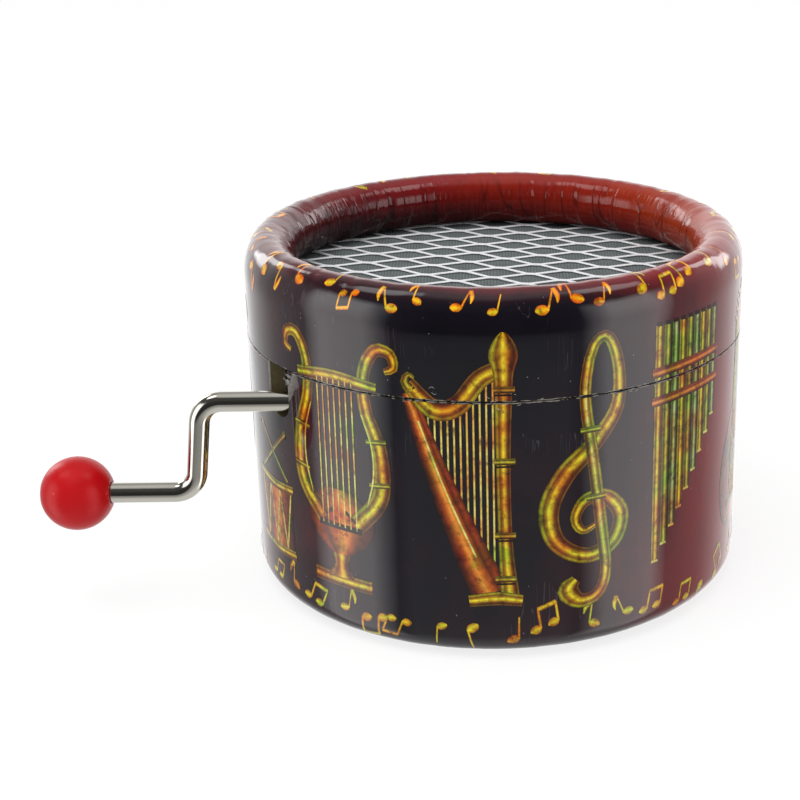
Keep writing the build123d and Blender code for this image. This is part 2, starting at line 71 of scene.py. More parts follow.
# %% Units and the sizes that several pieces share
MM = 0.001
BOX_RADIUS = 35.0
SEAM_LOW = 36.0        # the base's upper edge
SEAM_HIGH = 36.2       # the lid's lower edge
ROLL_MIDDLE = 31.6     # radius at which both rolled edges are centred
ROLL_HALF = 3.4
PAPER = 0.25           # thickness of the printed paper with its glue
CRANK_Y = -19.8
CRANK_Z = 31.0
HANDLE_Z = 18.0        # height of the crank's handle, and of the ball on it
SLOT_RADIUS = 2.18
WIRE_RADIUS = 1.4
GRILLE_TOP = 42.0
print("box", 2 * BOX_RADIUS, "mm across, seam at", SEAM_LOW, "mm, wire", 2 * WIRE_RADIUS, "mm")

# %% [markdown]
# ## The camera
# The photograph was taken from a little above and straight in front, with the crank out to the
# left and the box off the middle of the frame. Turning the camera until the box sits right
# would change the perspective. So the tilt is the one that the rim's ellipse gives, and the
# frame is matched with the lens shift and a slight roll.

# %% Camera
def camera_like_the_photograph():
    elevation = math.radians(20.283)
    roll = math.radians(-0.701)
    distance = 239.745
    target = Vector((0, 0, 25.0))
    ahead = Vector((0, math.cos(elevation), -math.sin(elevation)))
    right = Vector((1, 0, 0))
    up = Vector((0, math.sin(elevation), math.cos(elevation)))
    turned_right = math.cos(roll) * right + math.sin(roll) * up
    turned_up = -math.sin(roll) * right + math.cos(roll) * up
    place = (target - distance * ahead) * MM
    axes = Matrix((turned_right, turned_up, -ahead)).transposed().to_4x4()
    data = bpy.data.cameras.new("camera")
    data.lens = 74.16
    data.sensor_width = 36.0
    data.shift_x = -0.11866
    data.shift_y = -0.01376
    data.clip_start = 0.005
    camera = bpy.data.objects.new("camera", data)
    bpy.context.scene.collection.objects.link(camera)
    camera.matrix_world = Matrix.Translation(place) @ axes
    bpy.context.scene.camera = camera
    return camera


camera = camera_like_the_photograph()
print("camera at", [round(v / MM, 1) for v in camera.matrix_world.translation], "mm")

# %% [markdown]
# ## Helpers for nodes and meshes
# Shader trees and geometry trees are wired in the same way: make a node, set what it needs,
# link what feeds it. One small function does both, so the steps below read as a list of what
# each node is for.

# %% Node helpers
def feed(tree, socket, value):
    """An input gets its value: a link from another node's output, or a plain one."""
    if isinstance(value, bpy.types.NodeSocket):
        tree.links.new(value, socket)
    else:
        socket.default_value = value


def node(tree, kind, feeds=None, **settings):
    """A new node. feeds gives each input a value, or the output socket that feeds it."""
    made = tree.nodes.new(kind)
    for name, value in settings.items():
        setattr(made, name, value)
    for name, source in (feeds or {}).items():
        feed(tree, made.inputs[name], source)
    return made


def math_node(tree, operation, *values):
    made = node(tree, "ShaderNodeMath", operation=operation)
    for socket, value in zip(made.inputs, values):
        feed(tree, socket, value)
    return made.outputs[0]


def paint(code):
    """A colour as Blender keeps it, from the eight-bit values that a screen shows."""
    channels = [int(code[i:i + 2], 16) / 255 for i in (1, 3, 5)]
    line = [c / 12.92 if c <= 0.04045 else ((c + 0.055) / 1.055) ** 2.4 for c in channels]
    return (*line, 1.0)


def ramp(tree, fac, stops, interpolation="LINEAR"):
    made = node(tree, "ShaderNodeValToRGB", {"Fac": fac})
    made.color_ramp.interpolation = interpolation
    elements = made.color_ramp.elements
    while len(elements) < len(stops):
        elements.new(0.5)
    for element, (place, colour) in zip(elements, stops):
        element.position = place
        element.color = colour if isinstance(colour, tuple) else (colour, colour, colour, 1)
    return made.outputs["Color"]


def mix_colour(tree, fac, first, second, blend="MIX"):
    made = node(tree, "ShaderNodeMix", data_type="RGBA", blend_type=blend)
    for socket, value in zip((made.inputs[0], made.inputs[6], made.inputs[7]),
                             (fac, first, second)):
        feed(tree, socket, value)
    return made.outputs[2]


print("mid grey on a screen is", round(paint("#808080")[0], 3), "in Blender's colours")


# %% Piece helpers
def add_piece(name, mesh, material=None):
    piece = bpy.data.objects.new(name, mesh)
    bpy.context.scene.collection.objects.link(piece)
    if material:
        mesh.materials.clear()
        mesh.materials.append(material)
    return piece


def take_result(piece):
    """What a piece's modifiers give becomes its plain mesh, and the modifiers go."""
    bpy.context.view_layer.update()
    ready = piece.evaluated_get(bpy.context.evaluated_depsgraph_get())
    mesh = bpy.data.meshes.new_from_object(ready)
    piece.modifiers.clear()
    piece.data = mesh


def settle(piece, body, slot, *replaced):
    """The piece rides on its body, and stands for the CAD nodes that it hides. slot is not used.
    """
    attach(piece, body)
    if replaced:
        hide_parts(*replaced)
    print(piece.name, "rides on", body, "with", len(piece.data.polygons), "faces")


# %% [markdown]
# ## Effects that several finishes share
# Dust, fine grain and the wavering of a glossy skin appear on card, paper, plastic and metal
# alike, only weaker or finer. Each is a node group with its sizes as inputs, built once. A
# group gives out only masks and heights: the shader itself stays in the material.

# %% The start of a group
def start_group(name, inputs, outputs):
    group = bpy.data.node_groups.new(name, "ShaderNodeTree")
    for label, value in inputs.items():
        socket = group.interface.new_socket(label, in_out="INPUT",
                                            socket_type="NodeSocketFloat")
        socket.default_value = value
    for label in outputs:
        group.interface.new_socket(label, in_out="OUTPUT", socket_type="NodeSocketFloat")
    return group, node(group, "NodeGroupInput").outputs, node(group, "NodeGroupOutput").inputs


def place_of(tree):
    return node(tree, "ShaderNodeTexCoord").outputs["Object"]


print("patterns read a place in metres: 1000 cells per m are", 1 / (1000 * MM), "mm apart")

# %% [markdown]
# Dust lies on the film and the ball as a few pale specks. A noise would give clouds of it.
# Cells of a Voronoi pattern give single specks, and a drawn value per cell leaves most empty.

# %% Dust
def dust_group():
    """Specks of dust and lint: a cell pattern whose cells are mostly left empty."""
    group, given, result = start_group(
        "dust_specks", {"Size per m": 900.0, "Amount": 0.3}, ["Mask"])
    cells = node(group, "ShaderNodeTexVoronoi",
                 {"Vector": place_of(group), "Scale": given["Size per m"]})
    speck = node(group, "ShaderNodeMapRange",
                 {"Value": cells.outputs["Distance"], "From Min": 0.12, "From Max": 0.05,
                  "To Min": 0.0, "To Max": 1.0})
    drawn = node(group, "ShaderNodeSeparateColor", {"Color": cells.outputs["Color"]})
    kept = math_node(group, "LESS_THAN", drawn.outputs["Red"], given["Amount"])
    group.links.new(math_node(group, "MULTIPLY", speck.outputs["Result"], kept),
                    result["Mask"])
    return group


DUST = dust_group()
print(DUST.name, "has", len(DUST.nodes), "nodes")

# %% [markdown]
# Card, cast plastic and plate all have an uneven skin. One noise looks like fog, so a coarse
# and a fine one are mixed, and each material says how fine its own grain is.

# %% Grain
def grain_group():
    """Fine uneven grain at two scales, for card, cast plastic and plated steel."""
    group, given, result = start_group(
        "fine_grain", {"Coarse per m": 400.0, "Fine per m": 3000.0, "Share of fine": 0.5},
        ["Height"])
    coarse = node(group, "ShaderNodeTexNoise",
                  {"Vector": place_of(group), "Scale": given["Coarse per m"], "Detail": 3.0})
    fine = node(group, "ShaderNodeTexNoise",
                {"Vector": place_of(group), "Scale": given["Fine per m"], "Detail": 2.0})
    mixed = node(group, "ShaderNodeMix",
                 {"Factor": given["Share of fine"], "A": coarse.outputs["Fac"],
                  "B": fine.outputs["Fac"]}, data_type="FLOAT")
    group.links.new(mixed.outputs["Result"], result["Height"])
    return group


GRAIN = grain_group()
print(GRAIN.name, "has", len(GRAIN.nodes), "nodes")

# %% [markdown]
# Handling leaves hair scratches in film and metal. They could be drawn one by one. A noise
# that is stretched one way has long thin crests, and the same lines come for nothing.

# %% Scratches
def scratch_group():
    """Hair scratches: noise that is stretched along one way and cut to its thin crests."""
    group, given, result = start_group(
        "hair_scratches", {"Across per m": 2600.0, "Along per m": 120.0, "Amount": 0.5},
        ["Mask"])
    stretch = node(group, "ShaderNodeCombineXYZ",
                   {"X": given["Across per m"], "Y": given["Across per m"],
                    "Z": given["Along per m"]})
    spot = node(group, "ShaderNodeVectorMath",
                {0: place_of(group), 1: stretch.outputs["Vector"]}, operation="MULTIPLY")
    hairs = node(group, "ShaderNodeTexNoise",
                 {"Vector": spot.outputs["Vector"], "Scale": 1.0, "Detail": 1.0})
    away = math_node(group, "ABSOLUTE",
                     math_node(group, "SUBTRACT", hairs.outputs["Fac"], 0.5))
    thin = node(group, "ShaderNodeMapRange",
                {"Value": away, "From Min": 0.0, "From Max": 0.012, "To Min": 1.0,
                 "To Max": 0.0})
    group.links.new(math_node(group, "MULTIPLY", thin.outputs["Result"], given["Amount"]),
                    result["Mask"])
    return group


SCRATCH = scratch_group()
print(SCRATCH.name, "has", len(SCRATCH.nodes), "nodes")

# %% [markdown]
# Paper that goes round a roll gets creases that all point at the box's axis. They are finer
# than the pleats of the mesh, so they are a height in the finish, read round the axis.

# %% Creases
def crease_group():
    """Fine creases across a roll: noise that is read round the axis, with a valley where it
    crosses its middle value. Height is 1 on the flat and 0 in a crease."""
    group, given, result = start_group(
        "radial_creases", {"Per radian": 60.0, "Wander per m": 150.0, "Valley": 0.06},
        ["Height"])
    parts = node(group, "ShaderNodeSeparateXYZ", {"Vector": place_of(group)}).outputs
    flat = node(group, "ShaderNodeCombineXYZ", {"X": parts["X"], "Y": parts["Y"]})
    unit = node(group, "ShaderNodeVectorMath", {0: flat.outputs["Vector"]},
                operation="NORMALIZE")
    round_axis = node(group, "ShaderNodeVectorMath",
                      {0: unit.outputs["Vector"], "Scale": given["Per radian"]},
                      operation="SCALE")
    rise = node(group, "ShaderNodeCombineXYZ",
                {"Z": math_node(group, "MULTIPLY", parts["Z"], given["Wander per m"])})
    spot = node(group, "ShaderNodeVectorMath",
                {0: round_axis.outputs["Vector"], 1: rise.outputs["Vector"]}, operation="ADD")
    noise = node(group, "ShaderNodeTexNoise",
                 {"Vector": spot.outputs["Vector"], "Scale": 1.0, "Detail": 2.0})
    away = math_node(group, "ABSOLUTE",
                     math_node(group, "SUBTRACT", noise.outputs["Fac"], 0.5))
    valley = node(group, "ShaderNodeMapRange",
                  {"Value": away, "From Min": 0.0, "From Max": given["Valley"],
                   "To Min": 0.0, "To Max": 1.0})
    group.links.new(valley.outputs["Result"], result["Height"])
    return group


CREASE = crease_group()
print(CREASE.name, "has", len(CREASE.nodes), "nodes")


# %% How a material uses a group
def use(tree, group, **values):
    made = node(tree, "ShaderNodeGroup", node_tree=group)
    for label, value in values.items():
        made.inputs[label.replace("_", " ")].default_value = value
    return made.outputs[0]


def start_material(name, **shader_values):
    """A material with its Principled BSDF, and the constants set on the shader itself."""
    material = bpy.data.materials.new(name)
    material.use_nodes = True
    tree = material.node_tree
    shader = tree.nodes["Principled BSDF"]
    for label, value in shader_values.items():
        shader.inputs[label.replace("_", " ")].default_value = value
    return material, tree, shader


def bump(tree, shader, height, depth_mm, strength=1.0):
    made = node(tree, "ShaderNodeBump", {"Height": height, "Strength": strength,
                                         "Distance": depth_mm * MM})
    tree.links.new(made.outputs["Normal"], shader.inputs["Normal"])


print("a bump is given in mm: 0.05 mm reaches the shader as", 0.05 * MM, "m")

# %% [markdown]
# ## The printed paper
# The paper is a dark print under a clear glossy film. The print is nearly black on the front,
# with blotches of violet and maroon, and turns red and then orange inside the lid's roll. How
# warm the print is at each place is kept in an attribute of the mesh, so the colour follows
# the paper round the roll. The film is the clear coat of the shader, and it has lost some of
# its gloss where the paper is creased.

# %% Film relief
CREASE_DEPTH = 0.09    # mm


def film_relief(tree, shader):
    """The film's slow waver everywhere, and creases where the paper goes round the roll.
    Gives how deep in a crease each place is, where painted shade darkens the print."""
    film = node(tree, "ShaderNodeTexNoise", {"Vector": place_of(tree), "Scale": 260.0,
                                             "Detail": 2.0}).outputs["Fac"]
    pleat = node(tree, "ShaderNodeAttribute", attribute_name="pleat").outputs["Fac"]
    patches = node(tree, "ShaderNodeTexNoise", {"Vector": place_of(tree), "Scale": 70.0})
    smooth = node(tree, "ShaderNodeMapRange",
                  {"Value": patches.outputs["Fac"], "From Min": 0.56, "From Max": 0.44,
                   "To Min": 0.0, "To Max": 0.85}).outputs["Result"]
    fine = math_node(tree, "MAXIMUM", use(tree, CREASE, Per_radian=40.0, Valley=0.10), smooth)
    flat = math_node(tree, "MULTIPLY", fine,
                     use(tree, CREASE, Per_radian=6.0, Wander_per_m=40.0, Valley=0.018))
    relief = math_node(tree, "ADD", math_node(tree, "MULTIPLY", film, 0.14),
                       math_node(tree, "MULTIPLY", flat, pleat))
    made = node(tree, "ShaderNodeBump", {"Height": relief, "Strength": 1.0,
                                         "Distance": CREASE_DEPTH * MM})
    tree.links.new(made.outputs["Normal"], shader.inputs["Normal"])
    tree.links.new(made.outputs["Normal"], shader.inputs["Coat Normal"])
    return math_node(tree, "MULTIPLY", math_node(tree, "SUBTRACT", 1.0, flat), pleat)


print("the film's creases are", CREASE_DEPTH, "mm deep")


# %% Paper finish
def paper_material():
    material, tree, shader = start_material(
        "printed_paper", Roughness=0.42, Coat_Roughness=0.05, Specular_IOR_Level=0.05)
    spot = place_of(tree)
    warmth = node(tree, "ShaderNodeAttribute", attribute_name="warmth").outputs["Fac"]
    edge_wear_and_glint = node(tree, "ShaderNodeAttribute", attribute_name="edge_wear_and_glint").outputs["Fac"]
    blotch = node(tree, "ShaderNodeTexNoise",
                  {"Vector": spot, "Scale": 60.0, "Detail": 4.0, "Roughness": 0.55})
    streak_spot = node(tree, "ShaderNodeMapping",
                       {"Vector": spot, "Scale": (1.0, 1.0, 0.12)})
    streak = node(tree, "ShaderNodeTexNoise",
                  {"Vector": streak_spot.outputs["Vector"], "Scale": 620.0, "Detail": 3.0})
    mottled = math_node(
        tree, "ADD", warmth,
        math_node(tree, "MULTIPLY_ADD", blotch.outputs["Fac"], 0.42, -0.21))
    mottled = math_node(
        tree, "ADD", mottled,
        math_node(tree, "MULTIPLY_ADD", streak.outputs["Fac"], 0.08, -0.04))
    print_colour = ramp(tree, mottled, [
        (0.00, paint("#0d0c13")),
        (0.14, paint("#15111a")),
        (0.30, paint("#30161c")),
        (0.48, paint("#6a2226")),
        (0.66, paint("#861012")),
        (0.82, paint("#96200e")),
        (1.00, paint("#b04016")),
    ])
    pale = use(tree, DUST, Size_per_m=1500.0, Amount=0.025)
    dusty = mix_colour(tree, math_node(tree, "MULTIPLY", pale, 0.8), print_colour,
                       paint("#b9b6bb"))
    patches = node(tree, "ShaderNodeTexNoise", {"Vector": spot, "Scale": 110.0})
    rubbed = math_node(tree, "MULTIPLY",
                       use(tree, SCRATCH, Across_per_m=1300.0, Along_per_m=70.0, Amount=0.5),
                       math_node(tree, "GREATER_THAN", patches.outputs["Fac"], 0.62))
    scratched = mix_colour(tree, rubbed, dusty, paint("#5a555e"))
    # pale chips near the open edge: partly wear, partly a painted highlight where the edge
    # catches light
    chips = node(tree, "ShaderNodeTexNoise", {"Vector": spot, "Scale": 1400.0, "Detail": 3.0})
    edge_chips_and_glint = math_node(tree, "GREATER_THAN",
                     math_node(tree, "MULTIPLY", edge_wear_and_glint, chips.outputs["Fac"]), 0.45)
    aged_and_edge_lit = mix_colour(tree, edge_chips_and_glint, scratched, paint("#8f8a80"))
    deep = film_relief(tree, shader)
    # painted shade low inside the roll, mixed in as a deep red-black
    painted_roll_shade = node(tree, "ShaderNodeAttribute", attribute_name="painted_roll_shade").outputs["Fac"]
    shaded = mix_colour(tree, painted_roll_shade, aged_and_edge_lit, paint("#1c0407"))
    # painted shade: the print darkens towards a deep red-black in the creases
    tree.links.new(mix_colour(tree, math_node(tree, "MULTIPLY", deep, 0.75), shaded,
                              paint("#12060a")), shader.inputs["Base Color"])
    pleat = node(tree, "ShaderNodeAttribute", attribute_name="pleat").outputs["Fac"]
    tree.links.new(math_node(tree, "MULTIPLY_ADD", pleat, -0.55, 1.0),
                   shader.inputs["Coat Weight"])
    return material


PAPER_FINISH = paper_material()
print("paper finish:", len(PAPER_FINISH.node_tree.nodes), "nodes")

# %% [markdown]
# ## The box's rolled shape
# Both halves are a tube whose free edge is rolled in. The half section is a straight wall and
# three quarters of ellipses. The paper follows that line. Turned round the axis it would be
# perfectly smooth, and paper that is drawn round a roll can't be: it gathers into pleats. So
# the turned shape is made from an array of points, each pushed out by the folds at its angle.

# %% Half sections
LID_ROLL = {"open": SEAM_HIGH, "shoulder": 44.5, "up": 1, "outer": 5.5, "inner": 4.0}
BASE_ROLL = {"open": SEAM_LOW, "shoulder": 3.45, "up": -1, "outer": 3.2, "inner": 2.6}
PAPER_INSET = 0.06             # how far the paper's face stays inside the CAD wall
EDGE_ROWS = [0.0, 0.09, 0.24]  # mm from the open edge, where the print is worn and painted with an edge highlight


def half_section(roll, inset, wall_steps, arc_steps):
    """Points (radius, height) of a tube's line from its open edge, over the roll, to its
    lip, and how far along each is: 0 to 1 on the wall, then 1 more for each quarter."""
    across = ROLL_HALF - inset
    outer = roll["outer"] - inset
    inner = roll["inner"] - inset
    inner_z = roll["shoulder"] + roll["up"] * (roll["outer"] - roll["inner"])
    points = []
    stages = []
    wall = abs(roll["shoulder"] - roll["open"])
    even = [wall * i / wall_steps for i in range(1, wall_steps)]
    for rise in EDGE_ROWS + even:
        points.append((ROLL_MIDDLE + across, roll["open"] + roll["up"] * rise))
        stages.append(rise / wall)
    for i in range(3 * arc_steps + 1):
        quarter = i / arc_steps
        turn = math.radians(90 * quarter)
        height = outer if quarter <= 1 else inner
        middle = roll["shoulder"] if quarter <= 1 else inner_z
        points.append((ROLL_MIDDLE + across * math.cos(turn),
                       middle + roll["up"] * height * math.sin(turn)))
        stages.append(1 + quarter)
    return np.array(points), np.array(stages)


def normals_along(points, up):
    """Outward normals of the half section, in (radius, height)."""
    along = np.gradient(points, axis=0)
    normal = np.stack((along[:, 1], -along[:, 0]), axis=1) * up
    return normal / np.linalg.norm(normal, axis=1, keepdims=True)


print("rolled edges:", 2 * ROLL_HALF, "mm thick, the lid's from", LID_ROLL["shoulder"], "mm up")


# %% Folds and wavers
def fold_profile(seed, count):
    """Where the pleats lie: for any angle, how high its fold stands, 0 to 1. Each pleat
    rises slowly and ends in a short steep fall, as gathered paper laps over itself."""
    draw = random.Random(seed)
    widths = np.array([draw.uniform(0.5, 1.7) for _ in range(count)])
    edges = np.concatenate(([0], np.cumsum(widths) / widths.sum())) * 2 * math.pi
    heights = np.array([draw.uniform(0.25, 1.0) for _ in range(count)])

    def height_at(angle):
        turned = np.mod(angle, 2 * math.pi)
        index = np.clip(np.searchsorted(edges, turned, side="right") - 1, 0, count - 1)
        part = (turned - edges[index]) / (edges[index + 1] - edges[index])
        fall = np.clip((1 - part) / 0.10, 0, 1)
        return heights[index] * np.sin(part * math.pi / 2) * fall * fall * (3 - 2 * fall)

    return height_at


def waver(angle, seed, waves, size):
    """A slow uneven wave round the box: a few sines with drawn phases."""
    draw = random.Random(seed)
    total = np.zeros_like(angle)
    for wave in waves:
        total += math.sin(draw.uniform(0, 6)) * np.sin(wave * angle + draw.uniform(0, 6.28))
    return size * total / len(waves)


quarter_turns = np.linspace(0, 2 * math.pi, 4, endpoint=False)
print("the lid's folds at four places:", fold_profile(11, 25)(quarter_turns).round(2))

# %% [markdown]
# The pleats follow the real box: none on the wall, faint dents over the crest, and folds of
# half a millimetre inside the roll, where the paper has to shorten most, with a finer gather
# between them. They lean a little, because the paper was pulled round as it was pressed in.

# %% Pleats and dents
def pleat_share(stages):
    """How much of the pleats shows at each stage of the paper's line."""
    return np.interp(stages, [0, 1.0, 1.9, 2.3, 2.8, 3.2, 3.7, 4.0],
                     [0, 0, 0.0, 0.10, 0.7, 1.0, 0.6, 0.0])


def paper_push(angle, stages, seed, pleat_count, pleat_size):
    """How far pleats push each point out, and dents push it in, in mm."""
    lean = waver(angle, seed + 1, (2, 3, 5), 0.09) * np.clip(stages - 1, 0, 3)
    folds = fold_profile(seed, pleat_count)(angle + lean)
    gather = fold_profile(seed + 9, 5 * pleat_count)(angle + 1.3 * lean)
    dent = np.interp(stages, [0, 1.1, 1.7, 2.0, 2.4, 4.0], [0, 0, 0.08, 0.14, 0.1, 0.05])
    fine = waver(angle, seed + 2, (17, 29, 41, 67), 1.0)
    patchy = np.clip(0.3 + waver(angle, seed + 5, (2, 3, 5, 8), 2.4), 0, 1)
    push = pleat_share(stages) * pleat_size * (folds + 0.3 * patchy * gather)
    return push - dent * (0.5 + 0.5 * fine) * np.where(folds > 0.1, 1, 0.6)


print("share of the pleats at each quarter's end:", pleat_share([1, 2, 3, 4]))

# %% [markdown]
# The finish has to know where on the paper it is: how warm the print is, where the open edge
# is worn and carries a painted highlight, how creased the paper is, and how deep in the roll
# it lies, where painted shade darkens the print. Box-wide coordinates can't tell the inside of
# a roll from its outside, so these are written to the mesh as attributes while its rows and
# columns are still known.

# %% Masks on the paper
def print_warmth(azimuth, stage, roll):
    """Nearly black in front and at the left, maroon at the right, red inside the roll, and darker
    low in the roll as painted shade.
    """
    to_right = np.cos(azimuth)
    to_back = np.sin(azimuth)
    wall = 0.10 + 0.06 * np.clip(to_back, 0, 1)
    wall = wall + np.clip(to_right ** 2 * np.where(to_right > 0, 0.62, 0.20), 0, 0.48)
    # the last term is painted shade: the lower inside of the roll is darker
    inner = 0.70 + 0.25 * to_right + 0.04 * to_back - 0.14 * np.clip(stage - 2.9, 0, 1)
    if roll["up"] < 0:
        wall = wall + 0.08 * np.clip(stage, 0, 1)
        inner = wall
    return wall + (inner - wall) * np.clip((stage - 1.4) / 0.8, 0, 1)


def write_masks(mesh, angle, stages, roll):
    stage = np.broadcast_to(stages, (len(angle), len(stages)))
    azimuth = np.broadcast_to(angle, stage.shape)
    from_edge = stage * abs(roll["shoulder"] - roll["open"])
    depth = np.clip((stage - 2.35) / 0.9, 0, 1) * (1 if roll["up"] > 0 else 0)
    masks = {
        "warmth": print_warmth(azimuth, stage, roll),
        # edge mask: wear together with a painted edge highlight
        "edge_wear_and_glint": np.interp(from_edge, EDGE_ROWS, [1, 0.8, 0]),
        "pleat": np.broadcast_to(pleat_share(stages), stage.shape),
        # painted shade: darkens the print low inside the lid's roll, most at the left, least at
        # the right
        "painted_roll_shade": depth * np.clip(0.62 - 0.55 * np.cos(azimuth), 0.1, 0.8),
    }
    for label, values in masks.items():
        layer = mesh.attributes.new(label, "FLOAT", "POINT")
        layer.data.foreach_set("value", np.ascontiguousarray(values, np.float32).reshape(-1))


front_and_right = print_warmth(np.radians([-90, 0]), np.zeros(2), LID_ROLL)
print("warmth of the wall in front and at the right:", front_and_right.round(2))


# %% Paper shells
SURFACES = {}


def surface_of(grid, line):
    """The paper's outer face as a grid of points, with how far up the line each row is."""
    steps = np.linalg.norm(np.diff(line, axis=0), axis=1)
    return {"grid": grid, "along": np.concatenate(([0], np.cumsum(steps)))}


def loop_faces(turns, ring, flipped):
    """Quads between neighbouring loops of a body that closes both ways."""
    step = np.arange(turns)[:, None] * ring
    here = np.arange(ring)[None, :]
    after = (here + 1) % ring
    ahead = np.roll(step, -1, axis=0)
    faces = np.stack((step + here, ahead + here, ahead + after, step + after),
                     axis=2).reshape(-1, 4)
    return faces[:, ::-1] if flipped else faces


def paper_shell(name, roll, seed, pleat_count, pleat_size, turns, wall_steps, arc_steps):
    """A closed shell: over the paper's face, round its edge, and back along its inside."""
    outside, stages = half_section(roll, PAPER_INSET, wall_steps, arc_steps)
    inside, _ = half_section(roll, PAPER, wall_steps, arc_steps)
    normals = normals_along(outside, roll["up"])
    loop = np.concatenate((outside, inside[::-1]))
    loop_normals = np.concatenate((normals, normals[::-1]))
    loop_stages = np.concatenate((stages, stages[::-1]))
    angle = np.linspace(0, 2 * math.pi, turns, endpoint=False)[:, None]
    push = paper_push(angle, loop_stages, seed, pleat_count, pleat_size)
    edge = np.interp(loop_stages, [0, 0.06, 0.12], [1.0, 0.4, 0.0])
    ragged = waver(angle, seed + 3, (31, 53, 89, 131), 0.07) * edge * roll["up"]
    radius = loop[:, 0] + push * loop_normals[:, 0]
    height = loop[:, 1] + push * loop_normals[:, 1] + ragged
    spots = np.stack((radius * np.cos(angle), radius * np.sin(angle),
                      np.broadcast_to(height, radius.shape)), axis=2) * MM
    mesh = bpy.data.meshes.new(name)
    mesh.from_pydata(spots.reshape(-1, 3).tolist(), [],
                     loop_faces(turns, len(loop), roll["up"] < 0).tolist())
    mesh.shade_smooth()
    write_masks(mesh, angle, loop_stages, roll)
    SURFACES[name] = surface_of(spots[:, :len(outside)], outside)
    return mesh


lid_mesh = paper_shell("lid_paper", LID_ROLL, 11, 25, 0.40, 860, 8, 13)
base_mesh = paper_shell("base_paper", BASE_ROLL, 23, 40, 0.24, 640, 14, 12)
lid_paper = add_piece("lid_paper", lid_mesh, PAPER_FINISH)
base_paper = add_piece("base_paper", base_mesh, PAPER_FINISH)
print("papers:", len(lid_mesh.polygons), "faces on the lid,", len(base_mesh.polygons),
      "on the base")

# %% [markdown]
# The crank leaves through a slot that was punched down from the base's open edge: round below
# the wire, and open at the top. A cutter of that shape is taken out of the finished paper with
# an exact Boolean, as the punch did it. The cutter carries the finish of the paper's pale core,
# and the Boolean hands it on to the faces that it cuts.

# %% The slot in the paper
SLOT_TOP = 38.0                        # above the base's open edge, so the slot is open there
CUTTER_START, CUTTER_LONG = -38.0, 20.0


def paper_core():
    """The cut edge of the paper, where its pale core shows."""
    material, tree, shader = start_material("paper_core", Roughness=0.8,
                                            Specular_IOR_Level=0.2)
    fibres = use(tree, GRAIN, Coarse_per_m=900.0, Fine_per_m=6000.0, Share_of_fine=0.5)
    tree.links.new(mix_colour(tree, fibres, paint("#56524c"), paint("#c9c4b8")),
                   shader.inputs["Base Color"])
    bump(tree, shader, fibres, 0.03)
    return material


def slot_cutter():
    outline = []
    for i in range(25):
        turn = math.pi + math.pi * i / 24
        outline.append((CRANK_Y + SLOT_RADIUS * math.cos(turn),
                        CRANK_Z + SLOT_RADIUS * math.sin(turn)))
    outline += [(CRANK_Y + SLOT_RADIUS, SLOT_TOP), (CRANK_Y - SLOT_RADIUS, SLOT_TOP)]
    cutter = bmesh.new()
    near = [cutter.verts.new(Vector((CUTTER_START, y, z)) * MM) for y, z in outline]
    cutter.faces.new(near)
    far = bmesh.ops.extrude_face_region(cutter, geom=list(cutter.faces))["geom"]
    moved = [v for v in far if isinstance(v, bmesh.types.BMVert)]
    bmesh.ops.translate(cutter, vec=Vector((CUTTER_LONG, 0, 0)) * MM, verts=moved)
    bmesh.ops.recalc_face_normals(cutter, faces=cutter.faces)
    mesh = bpy.data.meshes.new("slot_cutter")
    cutter.to_mesh(mesh)
    cutter.free()
    return add_piece("slot_cutter", mesh, paper_core())


def cut(piece, cutter):
    modifier = piece.modifiers.new("cut", "BOOLEAN")
    modifier.object = cutter
    modifier.operation = "DIFFERENCE"
    modifier.solver = "EXACT"
    modifier.material_mode = "TRANSFER"
    take_result(piece)


cutter = slot_cutter()
cut(base_paper, cutter)
bpy.data.objects.remove(cutter)
for piece in (lid_paper, base_paper):
    piece.data.set_sharp_from_angle(angle=math.radians(50))
settle(lid_paper, "lid", "printed_paper", "lid_wrap")
settle(base_paper, "case", "printed_paper", "base_wrap")

# %% [markdown]
# ## Trees that grow pieces
# What repeats or follows a path is grown by Geometry Nodes. Each tree is built here with its
# sizes as named inputs. The modifier gets its values by the sockets' identifiers, the result
# is taken as a plain mesh, and the modifier goes.

# %% Geometry tree helpers
SOCKETS = {int: "NodeSocketInt", float: "NodeSocketFloat", bool: "NodeSocketBool",
           tuple: "NodeSocketVector"}


def start_tree(name, sizes):
    tree = bpy.data.node_groups.new(name, "GeometryNodeTree")
    tree.is_modifier = True
    tree.interface.new_socket("Geometry", in_out="INPUT", socket_type="NodeSocketGeometry")
    for label, value in sizes.items():
        socket = tree.interface.new_socket(label, in_out="INPUT",
                                           socket_type=SOCKETS[type(value)])
        socket.default_value = value
    tree.interface.new_socket("Geometry", in_out="OUTPUT", socket_type="NodeSocketGeometry")
    return tree, node(tree, "NodeGroupInput").outputs


def finish_tree(tree, geometry, material):
    """Every tree ends in real geometry with its material on it."""
    real = node(tree, "GeometryNodeRealizeInstances", {"Geometry": geometry})
    smooth = node(tree, "GeometryNodeSetShadeSmooth", {"Geometry": real.outputs["Geometry"]})
    painted = node(tree, "GeometryNodeSetMaterial",
                   {"Geometry": smooth.outputs["Geometry"], "Material": material})
    node(tree, "NodeGroupOutput", {"Geometry": painted.outputs["Geometry"]})
    return tree


def grow(name, tree, sizes, start_mesh=None):
    """The plain mesh that a tree gives for these sizes."""
    piece = add_piece(name, start_mesh or bpy.data.meshes.new(name))
    modifier = piece.modifiers.new(name, "NODES")
    modifier.node_group = tree
    for item in tree.interface.items_tree:
        if item.in_out == "INPUT" and item.name in sizes:
            modifier[item.identifier] = sizes[item.name]
    take_result(piece)
    piece.data.name = name
    return piece


